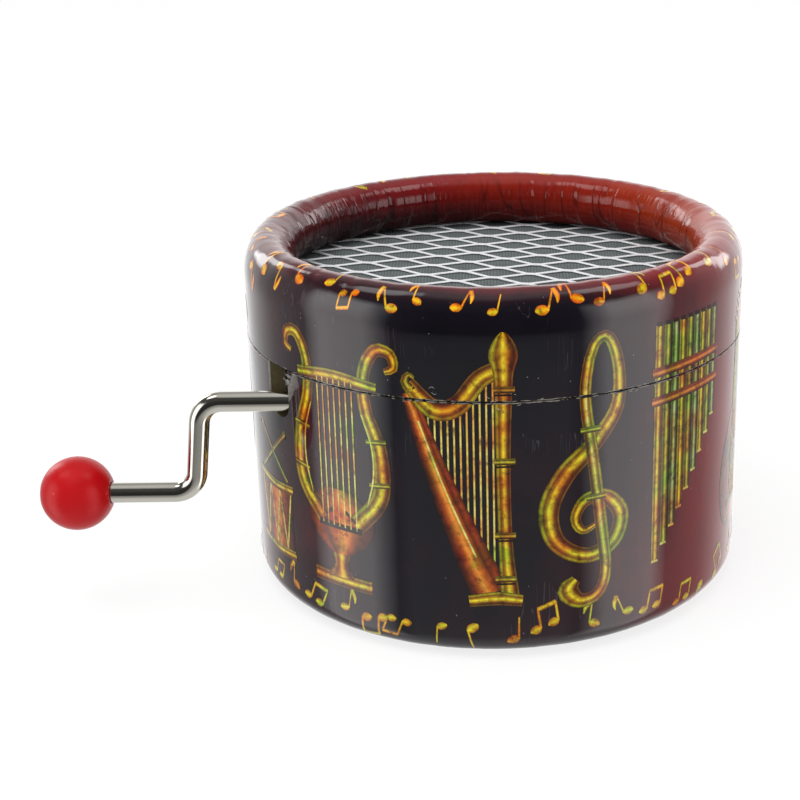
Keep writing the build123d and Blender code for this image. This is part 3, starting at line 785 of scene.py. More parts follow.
def path_mesh(name, spots):
    """Points in metres joined in a row by edges, for a tree to follow."""
    mesh = bpy.data.meshes.new(name)
    mesh.from_pydata(spots, [(i, i + 1) for i in range(len(spots) - 1)], [])
    return mesh


print("a tree's inputs may be:", ", ".join(kind.__name__ for kind in SOCKETS))

# %% [markdown]
# ## The print's motifs
# The print shows gold instruments and a border of notes. It is drawn the way a printer would
# lay it out: flat, in millimetres, with x round the box and y up from the seam. Every shape
# is a ribbon: a smooth line with a width at each point and a row of inks across, so that a
# plain stroke looks like a round brass tube. Then the flat drawing is wrapped on the paper.

# %% Ribbons of ink
INKS = {
    "gold": ("#56480e", "#b8b022", "#7a5212", "#b98a18", "#f8f43c", "#d8b41c", "#84500f",
             "#4a280a", "#8f6416"),
    "olive": ("#3a380c", "#8c8a20", "#4e4a12", "#a09c28", "#e2e04a", "#8c8420", "#4a4210",
              "#2a260a"),
    "amber": ("#4e1e0a", "#a04412", "#6a2a0c", "#cc641c", "#f4a040", "#b4541a", "#6a280c",
              "#341006"),
    "sage": ("#2a3018", "#6c7a48", "#46502a", "#9caa6a", "#d4dea0", "#76824c", "#3a4222",
             "#242a18"),
    "string": ("#c8b94e", "#f8f2a0", "#c8b94e"),
    "dark": ("#130c0c", "#1f1412", "#2a1a14", "#1c120f", "#140d0b"),
    "high_note": ("#d0581a", "#f4a01e", "#ffdc2c", "#fcc824", "#dc7420"),
    "low_note": ("#a8641a", "#d8b41e", "#f4ec30", "#d8c024", "#b46e18"),
}
LAYER = 0.005          # how far one ink stands above the last, in mm


def smooth_line(points, step=0.7):
    """A smooth line through (x, y, width) points, as closely spaced points."""
    spots = [np.array(p, float) for p in points]
    padded = [2 * spots[0] - spots[1]] + spots + [2 * spots[-1] - spots[-2]]
    line = []
    for a, b, c, d in zip(padded, padded[1:], padded[2:], padded[3:]):
        pieces = max(2, int(np.hypot(*(c - b)[:2]) / step) + 1)
        for i in range(pieces):
            t = i / pieces
            line.append(0.5 * (2 * b + (c - a) * t + (2 * a - 5 * b + 4 * c - d) * t ** 2
                               + (3 * b - a - 3 * c + d) * t ** 3))
    return np.array(line + [spots[-1]])


class Drawing:
    """Flat ribbons of ink, each a thin closed slab, with a colour at every point."""

    def __init__(self):
        self.spots, self.faces, self.colours = [], [], []

    def ribbon(self, points, ink, layer=0, place=(0.0, 0.0), scale=1.0, step=0.7):
        line = smooth_line(points, step)
        ahead = np.gradient(line[:, :2], axis=0)
        ahead /= np.maximum(np.linalg.norm(ahead, axis=1, keepdims=True), 1e-9)
        side = np.stack((-ahead[:, 1], ahead[:, 0]), axis=1)
        inks = [paint(code) for code in INKS[ink]]
        across = np.linspace(0.5, -0.5, len(inks))
        width = len(inks)
        rows = len(line)
        first = len(self.spots)
        for height in ((layer + 1) * LAYER, -2 * LAYER):
            for middle, normal in zip(line, side):
                for part, colour in zip(across, inks):
                    flat = middle[:2] + normal * part * middle[2]
                    self.spots.append((place[0] + scale * flat[0],
                                       place[1] + scale * flat[1], height))
                    self.colours.append(colour)
        below = rows * width
        for r in range(rows - 1):
            for c in range(width - 1):
                a = first + r * width + c
                self.faces.append((a, a + 1, a + width + 1, a + width))
                self.faces.append((a + below + width, a + below + width + 1, a + below + 1,
                                   a + below))
        rim = list(range(width))
        rim += [r * width + width - 1 for r in range(1, rows)]
        rim += [(rows - 1) * width + c for c in range(width - 2, -1, -1)]
        rim += [r * width for r in range(rows - 2, 0, -1)]
        for a, b in zip(rim, rim[1:] + rim[:1]):
            self.faces.append((first + b, first + a, first + a + below, first + b + below))

    def add_mesh(self, mesh):
        first = len(self.spots)
        self.spots += [tuple(v.co / MM) for v in mesh.vertices]
        self.faces += [tuple(first + i for i in p.vertices) for p in mesh.polygons]
        self.colours += [tuple(c.color) for c in mesh.attributes["ink"].data]

    def mesh(self, name, unit):
        made = bpy.data.meshes.new(name)
        made.from_pydata([(x * unit, y * unit, z * unit) for x, y, z in self.spots], [],
                         self.faces)
        layer = made.attributes.new("ink", "FLOAT_COLOR", "POINT")
        layer.data.foreach_set("color", np.array(self.colours, np.float32).reshape(-1))
        return made


print("inks:", ", ".join(INKS))

# %% [markdown]
# The motifs are a maker's stock of musical signs: a lyre, a harp, a clef, panpipes, a lute, a
# hand bell, a drum, a metronome and a coiled horn. Each is a list of ribbons about 36 mm
# high, drawn from the bottom at y = 0.

# %% Lyre and clef
def mirrored(points):
    return [(-x, y, w) for x, y, w in points]


def count_ribbons(*motifs):
    for motif in motifs:
        print(motif.__name__, "is", len(list(motif())), "ribbons")


def lyre():
    arm = [(2.6, 9.0, 2.6), (6.2, 13.5, 2.4), (6.4, 19.5, 2.1), (4.6, 25.0, 1.9),
           (4.6, 29.4, 1.8), (6.2, 32.2, 1.7), (8.2, 32.0, 1.5), (8.6, 30.3, 1.2),
           (7.4, 29.7, 0.8)]
    yield "gold", 0, [(-4.6, 1.0, 1.8), (4.6, 1.0, 1.8)]
    yield "gold", 1, [(0, 1.4, 4.6), (0, 3.2, 2.2), (0, 5.2, 3.4)]
    yield "amber", 2, [(0, 4.6, 3.0), (0, 6.6, 8.4), (0, 9.6, 10.6), (0, 12.4, 7.0),
                       (0, 13.4, 3.0)]
    for side in (arm, mirrored(arm)):
        yield "gold", 3, side
    yield "gold", 4, [(-6.2, 27.4, 1.5), (0, 28.0, 1.7), (6.2, 27.4, 1.5)]
    for side in (-1, 1):
        yield "string", 4, [(side * 4.4, 12.0, 0.2), (side * 5.4, 16.0, 0.25),
                            (side * 5.3, 20.0, 0.25), (side * 4.0, 24.0, 0.2)]
        for y, x in ((15.0, 6.3), (20.6, 6.0)):
            yield "olive", 4, [(side * (x - 1.5), y, 0.7), (side * (x + 1.3), y + 0.3, 0.7)]
        yield "dark", 3, [(side * 1.0, 10.6, 0.5), (side * 2.6, 9.4, 0.4)]
    for i in range(7):
        x = -2.7 + 0.9 * i
        yield "string", 5, [(x, 8.4, 0.22), (x, 27.6, 0.22)]
    yield "dark", 4, [(-3.4, 8.4, 0.8), (3.4, 8.4, 0.8)]


def clef():
    yield "gold", 0, [
        (1.2, 10.0, 0.7), (-0.9, 9.2, 1.1), (-1.9, 11.0, 1.4), (-0.6, 13.2, 1.7),
        (2.2, 13.2, 2.0), (4.2, 10.6, 2.3), (3.2, 7.2, 2.3), (-0.4, 5.8, 2.1),
        (-4.2, 8.0, 2.3), (-5.2, 12.4, 2.6), (-3.2, 16.8, 2.6), (0.6, 20.6, 2.3),
        (3.4, 24.6, 2.0), (3.6, 29.4, 1.7), (2.3, 33.2, 1.5), (0.6, 32.9, 1.4),
        (-0.5, 29.8, 1.4)]
    yield "gold", 2, [
        (-0.2, 31.2, 1.4), (-0.7, 26.4, 1.5), (0.3, 19.0, 1.6), (1.5, 10.0, 1.7),
        (2.2, 3.6, 1.6), (1.2, 0.5, 1.7), (-1.2, -0.2, 2.0), (-2.8, 1.4, 2.8),
        (-1.8, 2.8, 1.4)]
    yield "string", 3, [(-0.5, 29.0, 0.25), (-0.6, 25.0, 0.3), (0.4, 18.0, 0.3), (1.6, 9.0, 0.3),
                        (2.2, 4.0, 0.2)]
    for y, x in ((13.4, 0.7), (22.2, -0.1)):
        yield "olive", 4, [(x - 1.2, y, 0.8), (x + 1.4, y + 0.1, 0.8)]


count_ribbons(lyre, clef)


# %% Harp
def harp():
    board = [(-6.6, 28.4, 1.9), (-3.4, 19.0, 3.0), (0.4, 9.0, 4.2), (3.4, 2.0, 5.0)]
    neck = [(5.2, 32.0, 2.2), (2.4, 30.6, 2.4), (-0.4, 27.2, 2.4), (-3.4, 26.6, 2.5),
            (-6.6, 29.6, 2.0)]
    top = smooth_line(neck)
    foot = smooth_line(board)
    for i in range(12):
        x = -4.9 + 0.8 * i
        low = np.interp(x, foot[:, 0], foot[:, 1])
        high = np.interp(x, top[::-1, 0], top[::-1, 1])
        yield "string", 0, [(x, low, 0.24), (x, high, 0.24)]
    yield "amber", 1, board
    yield "gold", 2, [(5.8, 1.6, 2.4), (5.3, 9.0, 1.8), (5.1, 20.0, 1.8), (5.2, 31.5, 2.3)]
    yield "gold", 3, neck
    yield "gold", 4, [(5.2, 29.6, 2.2), (5.2, 31.4, 2.5), (5.2, 33.4, 3.6), (5.2, 34.8, 3.0),
                      (5.2, 36.0, 1.6), (5.2, 36.5, 0.4)]
    yield "gold", 4, [(0.6, 0.9, 1.6), (4.2, 1.3, 1.9), (7.4, 0.9, 1.6)]
    for y in (4.0, 10.0, 20.0, 29.2):
        yield "olive", 5, [(4.0, y, 0.9), (6.6, y, 0.9)]
        yield "dark", 5, [(4.1, y - 0.7, 0.25), (6.5, y - 0.7, 0.25)]
    yield "olive", 3, [(-6.2, 28.6, 1.5), (-7.0, 29.8, 1.2), (-6.5, 30.7, 0.9), (-5.8, 30.3, 0.5)]
    yield "string", 3, [(-5.4, 25.0, 0.3), (-2.0, 15.6, 0.3), (1.6, 7.0, 0.3)]


count_ribbons(harp)


# %% Panpipes and lute
def panpipes():
    for i in range(9):
        x = -5.4 + 1.35 * i
        low = 3.0 + 2.1 * i
        ink = ("gold", "olive", "sage")[i % 3]
        yield ink, 0, [(x, low, 1.32), (x, 34.0, 1.32)]
        yield "dark", 1, [(x - 0.42, 34.1, 0.5), (x + 0.42, 34.1, 0.5)]
        yield "string", 1, [(x - 0.5, low + 0.2, 0.35), (x + 0.5, low + 0.2, 0.35)]
    for y in (24.5, 28.0):
        yield "amber", 2, [(-6.4, y, 1.3), (6.4, y + 0.4, 1.3)]


def lute():
    yield "amber", 0, [(0, 0.6, 2.5), (0, 2.2, 8.4), (0, 6.4, 12.0), (0, 11.0, 11.4),
                       (0, 15.6, 7.4), (0, 19.0, 2.6)]
    yield "dark", 1, [(0, 8.6, 0.8), (0, 9.4, 3.0), (0, 10.8, 3.8), (0, 12.2, 3.0),
                      (0, 13.0, 0.8)]
    yield "gold", 2, [(0, 10.8, 1.6), (0, 10.9, 1.6)]
    yield "olive", 1, [(0, 17.4, 2.3), (0, 30.0, 2.0)]
    yield "amber", 2, [(0, 29.4, 2.2), (1.2, 32.0, 1.9), (2.9, 34.6, 1.4)]
    for i in range(4):
        y = 30.4 + 1.1 * i
        yield "gold", 1, [(-1.6 + 0.5 * i, y, 0.6), (2.8 + 0.3 * i, y - 0.4, 0.6)]
    yield "dark", 2, [(-2.8, 4.4, 0.9), (2.8, 4.4, 0.9)]
    for i in range(5):
        x = -0.72 + 0.36 * i
        yield "string", 3, [(2.2 * x, 4.6, 0.2), (x, 30.4, 0.2)]


count_ribbons(panpipes, lute)


# %% Bell and drum
def bell():
    yield "gold", 0, [(0, 1.4, 2.0), (0, 2.4, 2.8), (0, 4.2, 2.0)]
    yield "gold", 1, [(0, 4.0, 12.6), (0, 5.6, 11.4), (0, 10.0, 9.4), (0, 15.6, 8.0),
                      (0, 19.2, 6.0), (0, 20.8, 2.4)]
    yield "olive", 2, [(-6.4, 4.1, 1.3), (0, 3.6, 1.4), (6.4, 4.1, 1.3)]
    yield "olive", 2, [(-4.9, 9.2, 0.5), (0, 8.9, 0.5), (4.9, 9.2, 0.5)]
    yield "gold", 2, [(0, 20.2, 3.0), (0, 21.6, 1.8)]
    yield "amber", 3, [(0, 21.4, 1.7), (0, 25.0, 2.2), (0, 29.0, 3.0), (0, 32.6, 2.8),
                       (0, 34.4, 1.2)]


def drum():
    yield "amber", 0, [(0, 2.0, 11.6), (0, 13.0, 11.6)]
    for y in (1.9, 13.1):
        yield "gold", 2, [(-6.1, y, 1.6), (0, y - 0.5, 1.6), (6.1, y, 1.6)]
    for i in range(6):
        low, high = (2.4, 12.4) if i % 2 else (12.4, 2.4)
        yield "string", 1, [(-5.4 + 1.8 * i, low, 0.4), (-3.6 + 1.8 * i, high, 0.4)]
    for side in (-1, 1):
        yield "olive", 1, [(side * 4.6, 14.2, 0.8), (-side * 3.6, 21.4, 0.9),
                           (-side * 4.6, 22.2, 1.6)]


count_ribbons(bell, drum)


# %% Metronome and horn
def metronome():
    yield "amber", 0, [(0, 2.4, 13.0), (0, 14.0, 9.2), (0, 27.0, 5.2), (0, 29.0, 4.4)]
    yield "olive", 1, [(-7.2, 1.8, 1.8), (7.2, 1.8, 1.8)]
    yield "dark", 1, [(0, 8.4, 4.6), (0, 26.0, 2.8)]
    for i in range(9):
        yield "string", 2, [(-0.9, 10.0 + 1.8 * i, 0.25), (0.9, 10.0 + 1.8 * i, 0.25)]
    yield "string", 3, [(0.2, 8.0, 0.4), (3.2, 32.5, 0.4)]
    yield "gold", 4, [(2.0, 22.6, 2.4), (2.3, 24.8, 3.2)]
    yield "gold", 1, [(0, 28.8, 4.8), (0, 30.4, 2.6), (0, 31.6, 1.2)]


def horn():
    turns = [(5.6 * math.sin(t), 13.5 - 5.6 * math.cos(t), 1.2 + 0.08 * i)
             for i, t in enumerate(np.linspace(-2.6, 6.0, 20))]
    yield "gold", 1, [(-1.8, 34.0, 1.5), (-2.2, 30.0, 0.9), (-2.9, 18.4, 1.1)] + turns[1:]
    yield "gold", 3, [(-1.4, 8.2, 2.6), (-3.2, 6.6, 3.4), (-5.2, 3.8, 5.4), (-6.4, 1.6, 10.4)]
    yield "olive", 4, [(-10.6, 4.2, 1.0), (-6.4, 1.1, 1.3), (-2.2, -1.0, 1.0)]
    yield "olive", 2, [(4.2, 11.0, 0.9), (7.0, 12.6, 0.9)]


count_ribbons(metronome, horn)

# %% [markdown]
# A border of notes runs under the lid's edge and over the base's. A note is a head, a stem and
# a flag, and a pair shares a beam. Each is about 4 mm high. Four kinds are enough for the eye
# not to find the repeat.

# %% Notes
def quaver(flag):
    yield 1, [(-0.9, -0.35, 0.3), (-0.5, -0.12, 1.2), (0.3, 0.2, 1.25), (0.8, 0.4, 0.3)]
    yield 0, [(0.66, 0.2, 0.34), (0.66, 3.5, 0.26)]
    if flag:
        yield 0, [(0.7, 3.6, 0.8), (1.5, 2.5, 0.7), (1.7, 1.5, 0.2)]


def beamed():
    for x in (-1.25, 1.25):
        lift = 0.25 * x
        yield 1, [(x - 1.15, lift - 0.3, 0.3), (x - 0.7, lift - 0.1, 1.2),
                  (x - 0.05, lift + 0.14, 1.25), (x + 0.4, lift + 0.3, 0.3)]
        yield 0, [(x + 0.28, lift + 0.2, 0.4), (x + 0.28, lift + 3.0, 0.36)]
    yield 1, [(-1.0, 2.65, 0.7), (1.6, 3.3, 0.7)]


def note_shapes(ink):
    """The notes as small meshes in a collection, for a tree to pick from."""
    shapes = bpy.data.collections.new("notes_" + ink)
    for name, ribbons, side in (("quaver", quaver(True), 1), ("crotchet", quaver(False), 1),
                                ("turned_quaver", quaver(True), -1), ("pair", beamed(), 1)):
        drawing = Drawing()
        for layer, points in ribbons:
            line = [(side * x, y, w) for x, y, w in points]
            drawing.ribbon(line, ink, layer, step=0.45)
        shapes.objects.link(bpy.data.objects.new(f"{ink}_{name}", drawing.mesh(name, MM)))
    return shapes


print("a beamed pair is", len(list(beamed())), "ribbons")

# %% [markdown]
# The border's notes repeat all the way round, so a tree scatters them: points on a line, each
# pushed off a little, and at each one of the four notes at a drawn angle and size, with some
# of them upside down. The line is as long as the box is round. It is still flat, and is
# wrapped with the rest of the drawing.

# %% Note border tree
BORDER = {"Length": 2 * math.pi * BOX_RADIUS * MM, "Height": 0.0, "Count": 44,
          "Scatter": 1.2 * MM, "Tilt": 0.45, "Upside down": 0.25, "Size": 0.9, "Seed": 3}
SMALLEST_NOTE, LARGEST_NOTE = 0.78, 1.22     # as a share of the size


def random_between(tree, low, high, seed, salt, kind="FLOAT"):
    made = node(tree, "FunctionNodeRandomValue", data_type=kind)
    lows = [s for s in made.inputs if s.name == "Min" and s.enabled][0]
    highs = [s for s in made.inputs if s.name == "Max" and s.enabled][0]
    feed(tree, lows, low)
    feed(tree, highs, high)
    tree.links.new(math_node(tree, "ADD", seed, salt), made.inputs["Seed"])
    return [s for s in made.outputs if s.enabled][0]


def border_tree(shapes):
    tree, given = start_tree("note_border", BORDER)
    gap = math_node(tree, "DIVIDE", given["Length"], given["Count"])
    start = node(tree, "ShaderNodeCombineXYZ",
                 {"X": math_node(tree, "MULTIPLY", gap, 0.5), "Y": given["Height"]})
    step = node(tree, "ShaderNodeCombineXYZ", {"X": gap})
    line = node(tree, "GeometryNodeMeshLine",
                {"Count": given["Count"], "Start Location": start.outputs["Vector"],
                 "Offset": step.outputs["Vector"]}, mode="OFFSET")
    low = math_node(tree, "MULTIPLY", given["Scatter"], -1.0)
    aside = node(tree, "ShaderNodeCombineXYZ",
                 {"X": random_between(tree, low, given["Scatter"], given["Seed"], 1),
                  "Y": random_between(tree, low, given["Scatter"], given["Seed"], 2)})
    spread = node(tree, "GeometryNodeSetPosition",
                  {"Geometry": line.outputs["Mesh"], "Offset": aside.outputs["Vector"]})
    picks = node(tree, "GeometryNodeCollectionInfo",
                 {"Collection": shapes, "Separate Children": True, "Reset Children": True})
    less = math_node(tree, "MULTIPLY", given["Tilt"], -1.0)
    drawn = random_between(tree, 0.0, 1.0, given["Seed"], 6)
    over = math_node(tree, "MULTIPLY",
                     math_node(tree, "LESS_THAN", drawn, given["Upside down"]), math.pi)
    tilt = random_between(tree, less, given["Tilt"], given["Seed"], 3)
    turn = node(tree, "ShaderNodeCombineXYZ", {"Z": math_node(tree, "ADD", tilt, over)})
    small = math_node(tree, "MULTIPLY", given["Size"], SMALLEST_NOTE)
    large = math_node(tree, "MULTIPLY", given["Size"], LARGEST_NOTE)
    size = random_between(tree, small, large, given["Seed"], 4)
    notes = node(tree, "GeometryNodeInstanceOnPoints",
                 {"Points": spread.outputs["Geometry"], "Instance": picks.outputs[0],
                  "Pick Instance": True, "Scale": size,
                  "Instance Index": random_between(tree, 0, 3, given["Seed"], 5, "INT")})
    tree.links.new(turn.outputs["Vector"], notes.inputs["Rotation"])
    return finish_tree(tree, notes.outputs["Instances"], PAPER_FINISH)


def draw_border(drawing, ink, **changes):
    shapes = note_shapes(ink)
    border = grow("border_" + ink, border_tree(shapes), {**BORDER, **changes})
    drawing.add_mesh(border.data)
    bpy.data.objects.remove(border)
    for shape in list(shapes.objects):
        bpy.data.objects.remove(shape)
    bpy.data.collections.remove(shapes)


print("border:", BORDER["Count"], "notes on", round(BORDER["Length"] / MM, 1), "mm")

# %% [markdown]
# The drawing is wrapped by looking each point up on the paper: x says how far round, and y
# how far along the paper's line from the seam. The answer is taken from the grid of points
# that the paper was made from, so the ink follows every pleat. A motif that crosses the seam
# is cut there, one part for the lid and one for the base, as on the real box.

# %% Looking up a place on the paper
def look_up(surface, x, y):
    """Places and outward normals on a paper for flat coordinates in millimetres."""
    grid, along = surface["grid"], surface["along"]
    turns = grid.shape[0]
    row = (x / (2 * math.pi * BOX_RADIUS) % 1.0) * turns
    column = np.interp(y, along, np.arange(len(along)))
    r0 = np.floor(row).astype(int) % turns
    c0 = np.clip(np.floor(column).astype(int), 0, len(along) - 2)
    u = (row - np.floor(row))[:, None]
    v = (column - c0)[:, None]
    r1 = (r0 + 1) % turns
    a, b = grid[r0, c0], grid[r1, c0]
    c, d = grid[r0, c0 + 1], grid[r1, c0 + 1]
    spot = (1 - u) * (1 - v) * a + u * (1 - v) * b + (1 - u) * v * c + u * v * d
    normal = np.cross((1 - v) * (b - a) + v * (d - c), (1 - u) * (c - a) + u * (d - b))
    return spot, normal / np.linalg.norm(normal, axis=1, keepdims=True)


for name, surface in SURFACES.items():
    print(name, "runs", round(surface["along"][-1], 1), "mm from its open edge to its lip")


# %% Wrapping the drawing
SEAM_MARGIN = 0.12     # mm of bare paper on each side of the seam
INK_RISE = 0.012       # mm that the ink's slab stands over the paper


def wrap_drawing(name, drawing, surface, sign, material):
    """The part of the drawing on one side of the seam, laid on that paper."""
    flat = bmesh.new()
    flat.from_mesh(drawing.mesh(name, 1.0))
    everything = list(flat.verts) + list(flat.edges) + list(flat.faces)
    bmesh.ops.bisect_plane(flat, geom=everything, plane_co=(0, SEAM_MARGIN * sign, 0),
                           plane_no=(0, sign, 0), clear_inner=True)
    open_edges = [e for e in flat.edges if e.is_boundary]
    bmesh.ops.holes_fill(flat, edges=open_edges, sides=0)
    bmesh.ops.triangulate(flat, faces=[f for f in flat.faces if len(f.verts) > 4])
    mesh = bpy.data.meshes.new(name)
    flat.to_mesh(mesh)
    flat.free()
    count = len(mesh.vertices)
    spots = np.zeros(count * 3)
    mesh.vertices.foreach_get("co", spots)
    spots = spots.reshape(-1, 3)
    place, normal = look_up(surface, spots[:, 0], np.abs(spots[:, 1]))
    normal *= sign
    place = place + normal * (spots[:, 2:3] + INK_RISE) * MM
    mesh.vertices.foreach_set("co", place.reshape(-1))
    mesh.update()
    mesh.shade_smooth()
    mesh.normals_split_custom_set_from_vertices(normal.tolist())
    return add_piece(name, mesh, material)


print("ink stands up to", round(INK_RISE + 6 * LAYER, 3), "mm over the paper")

# %% [markdown]
# The motifs stand about 28 degrees apart, and the one beside the slot is short enough to
# leave it free. Under the film the ink is the same print as the paper, so its material has
# the same shine, and takes its colour from the ribbons with a little mottling over it.

# %% Ink finish
def ink_material():
    material, tree, shader = start_material(
        "printed_ink", Roughness=0.42, Coat_Weight=1.0, Coat_Roughness=0.05,
        Specular_IOR_Level=0.05)
    ink = node(tree, "ShaderNodeAttribute", attribute_name="ink").outputs["Color"]
    spot = place_of(tree)
    mottle = node(tree, "ShaderNodeTexNoise", {"Vector": spot, "Scale": 800.0, "Detail": 4.0,
                                               "Roughness": 0.7})
    shade = ramp(tree, mottle.outputs["Fac"], [(0.34, paint("#6e5230")),
                                               (0.48, paint("#e4d8b4")),
                                               (0.60, paint("#ffffff"))])
    patch = node(tree, "ShaderNodeTexNoise", {"Vector": spot, "Scale": 210.0, "Detail": 3.0})
    hue = ramp(tree, patch.outputs["Fac"], [(0.36, paint("#f0904a")), (0.45, paint("#ffe8b0")),
                                            (0.52, paint("#ffffff")), (0.64, paint("#b8f060"))])
    printed = mix_colour(tree, 0.8, ink, shade, "MULTIPLY")
    tinted = mix_colour(tree, 0.8, printed, hue, "MULTIPLY")
    film_relief(tree, shader)
    tree.links.new(tinted, shader.inputs["Base Color"])
    return material


INK = ink_material()
print("ink finish:", len(INK.node_tree.nodes), "nodes")

# %% The printed drawing
LAYOUT = [       # azimuth in degrees from the front towards +X, motif, size, foot below seam
    (-36, lyre, 1.06, 28.4), (-7, harp, 1.02, 28.2), (20, clef, 1.06, 28.0),
    (46, panpipes, 1.06, 28.6), (72, lute, 1.03, 28.2), (100, bell, 1.05, 28.0),
    (128, horn, 1.02, 27.6), (156, metronome, 1.0, 28.2), (184, harp, 1.04, 28.2),
    (212, clef, 1.0, 28.0), (240, panpipes, 1.03, 28.4), (268, lyre, 1.02, 28.2),
    (-60, drum, 0.86, 28.6),
]


drawing = Drawing()
for azimuth, motif, size, foot in LAYOUT:
    middle = BOX_RADIUS * math.radians(azimuth - 90)
    for ink, layer, points in motif():
        drawing.ribbon(points, ink, layer, (middle, -foot), size)
draw_border(drawing, "high_note", Height=12.3 * MM, Scatter=1.3 * MM, Seed=5, Count=46)
draw_border(drawing, "low_note", Height=-31.9 * MM, Scatter=1.1 * MM, Seed=8, Count=44)
print("drawing:", len(drawing.faces), "faces of flat ink")
lid_print = wrap_drawing("lid_print", drawing, SURFACES["lid_paper"], 1, INK)
base_print = wrap_drawing("base_print", drawing, SURFACES["base_paper"], -1, INK)
settle(lid_print, "lid", "printed_paper")
settle(base_print, "case", "printed_paper")

# %% [markdown]
# Where the paper was cut, a few fibres stand proud and catch the light: a tuft at the slot's
# corner, and some short hairs along the seam. Each is a hair-thin ribbon, laid on the paper
# like the print, at places drawn from a seed.

# %% Torn fibres
FIBRE_WIDTH = 0.032
FIBRE_SPOTS = [    # azimuth, height over the seam in mm, how many, how far they spread
    (-51.2, -1.6, 14, 0.4), (-50.6, -0.7, 7, 0.3), (-16.0, -0.2, 5, 1.1), (2.0, -0.1, 8, 1.8),
    (7.0, 0.1, 3, 1.4), (-13.5, 1.3, 3, 0.9), (31.0, -0.2, 3, 1.6), (64.0, -0.1, 3, 1.0),
    (120.0, 0.1, 5, 1.5), (-140.0, -0.1, 5, 1.2),
]


def fibre_material():
    material, tree, shader = start_material("paper_fibre", Roughness=0.7)
    tone = use(tree, GRAIN, Coarse_per_m=700.0, Fine_per_m=5000.0, Share_of_fine=0.4)
    tree.links.new(mix_colour(tree, tone, paint("#77746c"), paint("#f2f0e8")),
                   shader.inputs["Base Color"])
    return material


def fibres():
    drawn = random.Random(31)
    flat = Drawing()
    for azimuth, height, count, spread in FIBRE_SPOTS:
        middle = BOX_RADIUS * math.radians(azimuth - 90)
        for _ in range(count):
            x = middle + drawn.gauss(0, spread)
            y = height + drawn.gauss(0, 0.35 * spread)
            turn = drawn.uniform(-0.9, 0.9)
            bend = drawn.uniform(-0.2, 0.2)
            half = drawn.uniform(0.10, 0.45)
            along = Vector((math.cos(turn), math.sin(turn)))
            aside = Vector((-along.y, along.x))
            line = [(x + along.x * s * half + aside.x * bend * (1 - s * s),
                     y + along.y * s * half + aside.y * bend * (1 - s * s), FIBRE_WIDTH)
                    for s in (-1.0, -0.4, 0.3, 1.0)]
            flat.ribbon(line, "string", 2, step=0.2)
    return flat


FIBRE = fibre_material()
for name, surface, sign, body in (("lid_fibres", "lid_paper", 1, "lid"),
                                  ("base_fibres", "base_paper", -1, "case")):
    settle(wrap_drawing(name, fibres(), SURFACES[surface], sign, FIBRE), body,
           "printed_paper")

# %% [markdown]
# ## The metals
# The box holds etched aluminium, nickel plate, brass, zinc plate, spring steel and lead. They
# differ in colour, in how rough they are and in the size of their grain, and are alike in all
# else. So one function makes them all: grain, a few hair scratches, and smudges of a duller
# tint, where fingers and time have been.

# %% Metal finishes
def metal_material(name, colour, roughness, grain_depth=0.004, spread=0.08, tint="#8a8478",
                   tint_amount=0.25, coarse=300.0, fine=4000.0, metallic=1.0):
    material, tree, shader = start_material(name, Metallic=metallic)
    grain = use(tree, GRAIN, Coarse_per_m=coarse, Fine_per_m=fine, Share_of_fine=0.45)
    smudge = node(tree, "ShaderNodeTexNoise",
                  {"Vector": place_of(tree), "Scale": coarse * 0.6, "Detail": 3.0})
    tone = mix_colour(tree, math_node(tree, "MULTIPLY", smudge.outputs["Fac"], tint_amount),
                      paint(colour), paint(tint))
    hairs = use(tree, SCRATCH, Across_per_m=1500.0, Along_per_m=1500.0, Amount=0.2)
    tree.links.new(mix_colour(tree, hairs, tone, paint(tint)), shader.inputs["Base Color"])
    rough = math_node(tree, "MULTIPLY_ADD", grain, 2 * spread, roughness - spread)
    tree.links.new(rough, shader.inputs["Roughness"])
    bump(tree, shader, grain, grain_depth)
    return material


MESH_METAL = metal_material("mesh_metal", "#fcfdff", 0.46, tint="#e2e6ea", metallic=0.3)
NICKEL = metal_material("nickel_wire", "#d9d6cc", 0.13, 0.002, 0.05, "#a39f8c")
BRASS = metal_material("brass", "#cfa850", 0.26, 0.004, 0.07, "#8c6a2c")
STEEL = metal_material("zinc_steel", "#b9bab6", 0.36, 0.005, 0.10, "#86847c")
COMB_STEEL = metal_material("comb_steel", "#a9abad", 0.28, 0.003, 0.08, "#6f6d6b")
LEAD = metal_material("lead", "#77787c", 0.55, 0.01, 0.10, "#55565a")
print("metals:", ", ".join(m.name for m in (MESH_METAL, NICKEL, BRASS, STEEL, COMB_STEEL, LEAD)))

# %% [markdown]
# ## The grille
# Expanded metal is a sheet that is slit in staggered rows and pulled open, then rolled flat.
# Each strand zigzags between two rows of joints, and lies against its neighbour along each
# joint. So one zigzag path with a flat section, repeated up the disc, is the whole mesh. The
# pulling leaves every strand leaning to one side, so its face looks up to the light. The
# sheet is etched aluminium: its sheen is so broad that both runs of a strand look white.

# %% Grille tree
GRILLE = {"Long": 9.9 * MM, "Short": 4.95 * MM, "Strand": 0.40 * MM, "Knuckle": 1.3 * MM,
          "Thickness": 0.14 * MM, "Edge": 0.04 * MM, "Lean": math.radians(18),
          "Radius": 32.4 * MM, "Rows": 27}
GRILLE_TURN = math.radians(-10.5)      # how the disc happens to lie in the lid
JOINTS_EACH_WAY = 8                    # along a row, from its middle


def zigzag_mesh(long, short, strand, knuckle, count, flip):
    """One row's path: flat along each joint, sloping between them."""
    spots = []
    rise = (short - strand * 0.98) / 4
    for i in range(-count, count + 1):
        level = rise if (i + flip) % 2 else -rise
        for side in (-1, 1):
            spots.append((i * long / 2 + side * knuckle / 2, level, 0.0))
    return path_mesh("zigzag", spots)


